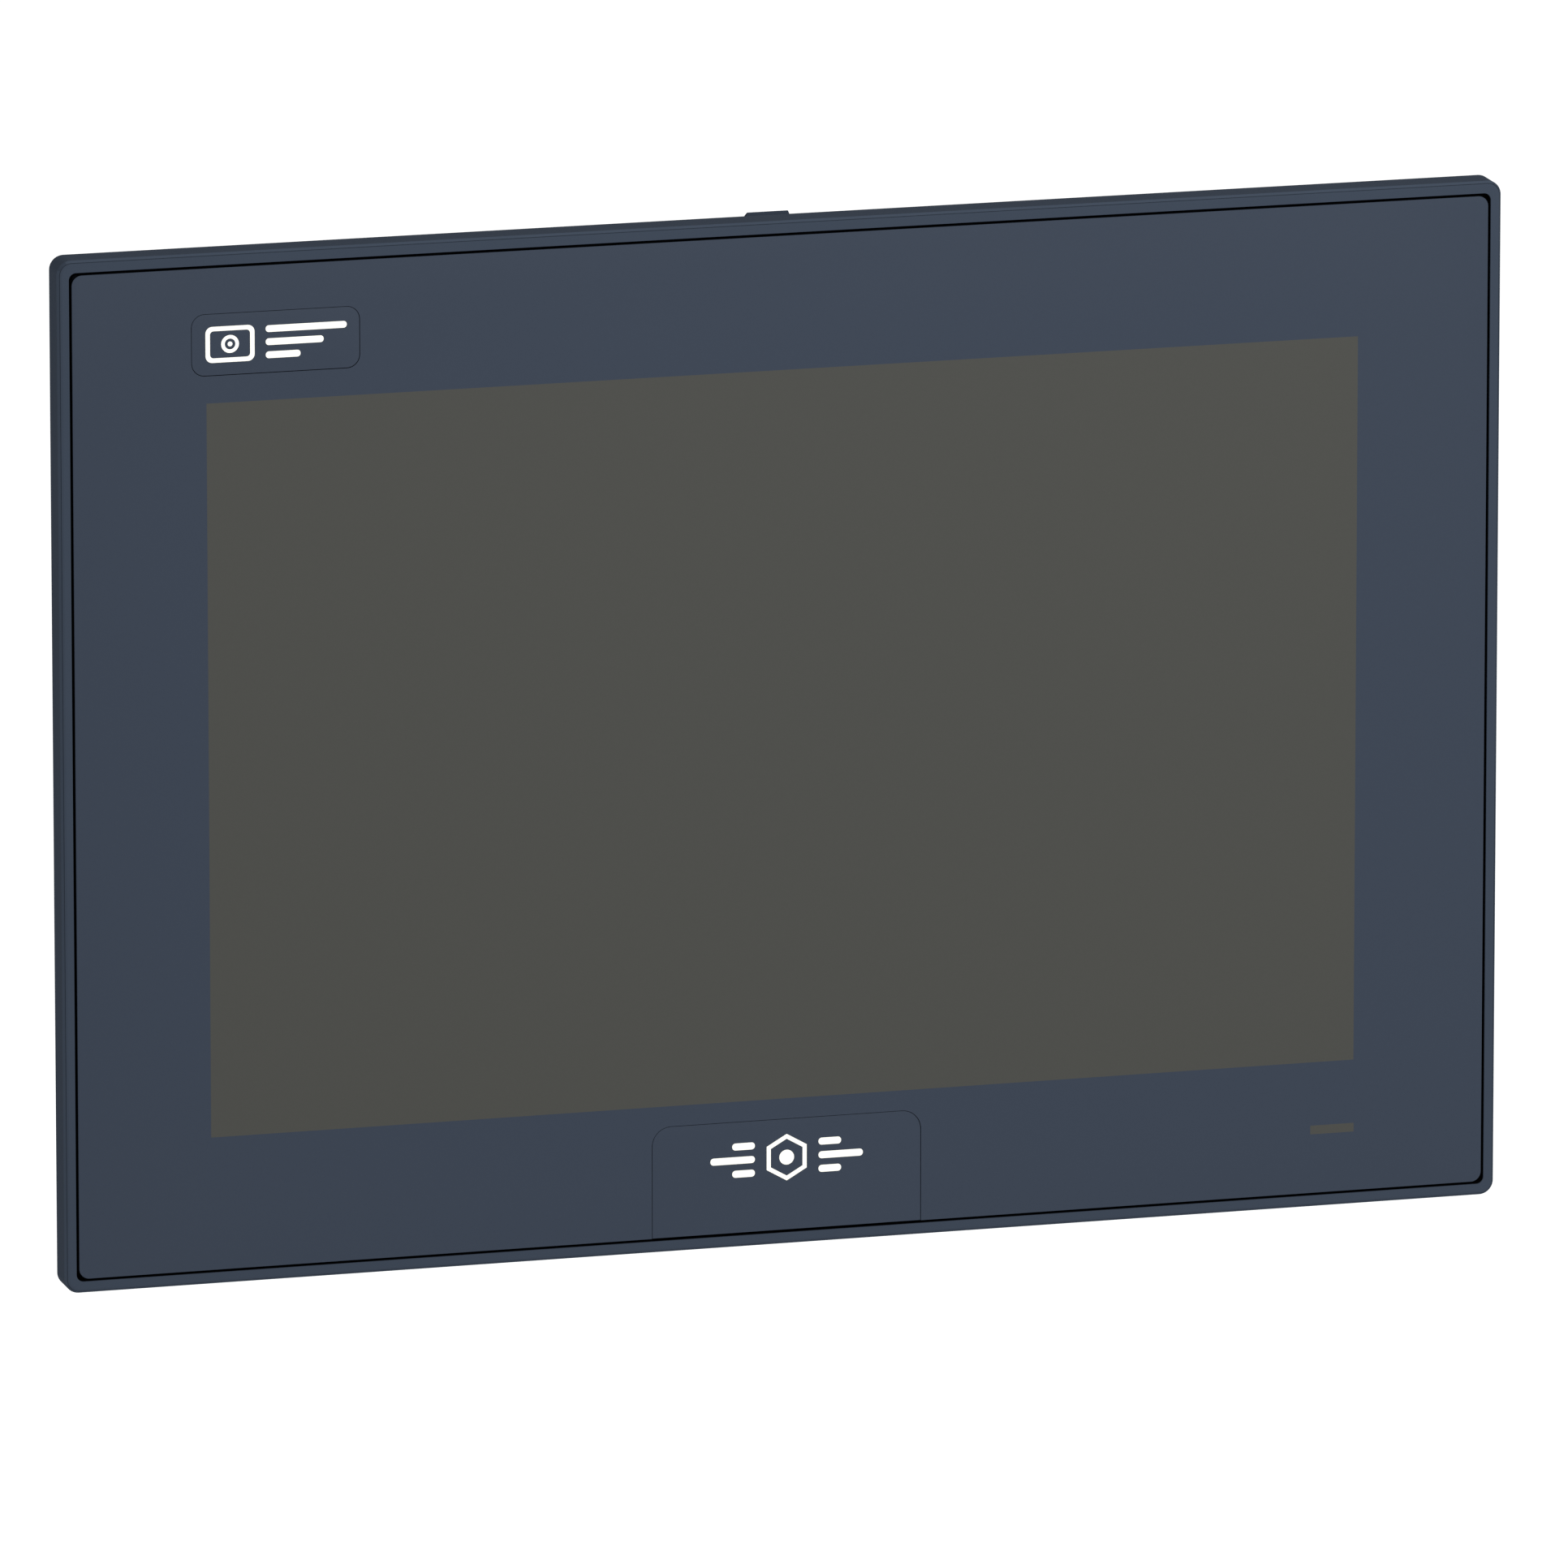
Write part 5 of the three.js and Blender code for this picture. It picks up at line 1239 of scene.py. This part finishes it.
def network_ports():
    """Jacks from CAD, with spring contacts and two indicator lenses in each."""
    x, _, (face, _) = extent("network_ports")
    ports = refined("network_ports", ["port_metal", "black_plastic"], 0.15)
    contacts = bmesh.new()
    lenses = {"green_lens": bmesh.new(), "amber_lens": bmesh.new()}
    half_jack = 5.95
    jack_y = (23.9, 33.5)
    route = [(24.1, face + 2.2), (24.5, face + 2), (27.2, face + 10), (27.0, face + 12.9)]
    half_wire = 0.17
    pitch = 1.02
    for centre in (middle(x) - JACK_OFFSET, middle(x) + JACK_OFFSET):
        hollow = (centre - half_jack, centre + half_jack)
        painted(ports, 1, within(hollow, jack_y, (face + 0.1, 0)))
        for i in range(8):
            wire = centre + (i - 3.5) * pitch
            rings = [
                [(wire + a * half_wire, depth + b * half_wire, level) for a, b in SQUARE]
                for depth, level in route
            ]
            loft(contacts, rings)
        for side, lens in ((-1, "green_lens"), (1, "amber_lens")):
            near, far = sorted((centre + side * 2.7, centre + side * 5.4))
            box(lenses[lens], (near, far), (31.8, 33.3), (face - 0.08, face + 0.5))
    piece("network_contacts", contacts, "housing", ["contact_gold"])
    for lens, bm in lenses.items():
        piece(f"network_{lens}", bm, "housing", [lens])


def usb_ports():
    """Sockets from CAD, with four contacts on each tongue."""
    x, _, (face, _) = extent("usb_ports")
    ports = refined("usb_ports", ["port_metal", "black_plastic"], 0.12)
    contacts = bmesh.new()
    half_tongue = 5.45
    half_contact = 0.5
    tongue_x = (middle(x) - half_tongue, middle(x) + half_tongue)
    for level in USB_LEVELS:
        tongue_y = (level - 0.05, level + 1.85)
        painted(ports, 1, within(tongue_x, tongue_y, (face + 1, face + 10.9)))
        for offset in (-3.5, -1, 1, 3.5):
            centre = middle(x) + offset
            strip = (centre - half_contact, centre + half_contact)
            box(contacts, strip, (level - 0.06, level + 0.2), (face + 2.2, face + 9))
    piece("usb_contacts", contacts, "housing", ["contact_gold"])


def port_signs():
    """Small printed pictograms above the ports, one kind for each."""
    shapes = []

    def block(x, up, half_x, half_z):
        z = SIGN_LEVEL + up
        shapes.append(bar((x - half_x, x + half_x), (z - half_z, z + half_z), 0.15))

    def dot(x, radius, sides):
        shapes.append(polygon((x, SIGN_LEVEL), radius, sides))

    for x in NETWORK_X:
        for across, up in ((0, 1.2), (-1.5, -1.2), (1.5, -1.2)):
            block(x + across, up, 0.8, 0.6)
    for across in (-2, 0, 2):
        dot(SERIAL_X + across, 0.6, 16)
    block(POWER_X, 0, 3, 0.2)
    for side in (-1, 1):
        block(POWER_X + side * 2.3, 1, 0.7, 0.2)
    dot(RESET_X, 1.5, 32)
    dot(RESET_X, 1.15, 32)
    dot(USB_X, 1.4, 4)
    y = COVER_BACK + PRINT / 2
    sheet_print("port_signs", shapes, y, "housing", "white_print")


def reset_button():
    """A stepped button: dished tip, shaft, collar and the stem that works the switch."""
    x, y, (tip, end) = extent("reset_button")
    place = (middle(x), middle(y))
    shaft = 1.6
    collar = 2.7
    stem = 1.2
    near = -67.6
    far = -66.9
    profile = [(AXIS, tip + 0.25), (1.1, tip + 0.05), (1.45, tip + 0.2), (shaft, tip + 0.6)]
    profile += [(shaft, near), (collar, near), (collar, far), (stem, far), (stem, end), (AXIS, end)]
    bm = lathe(bmesh.new(), profile, place, axis="z", sides=40)
    shaded(stand_in("reset_button", "turned", bm, ["white_plastic"]), TURNED)


# -------- assembly

bpy.context.scene.view_settings.view_transform = "Standard"
make_camera()
make_world()
make_floor()
make_sun("front_light", direction=(0.12, -1.0, 0.05), strength=0.25, spread=40)
make_softbox("top_light", place=(0.3, -0.9, 0.5), target=(0, 0, 0), size=0.5, power=11.5)

bezel()
film()
for node, corner, runout in LABELS:
    label(node, corner, runout)
badge_mark()
logo_mark()
gasket()
housing()
clamps()
earth_screw()
catch_spring()
rating_plate()
electronics()
connectors()
port_signs()

CARRIED = {
    "touch_sensor": "display_glass",
    "touch_flex_tail": "flex_film",
    "display_gasket": "foam",
    "display_glass": "display_glass",
    "display_ribbon": "flex_film",
}
for node, finish in CARRIED.items():
    for place in frame["nodes"][node].material_slots:
        place.link = "OBJECT"
        place.material = FINISH[finish].material
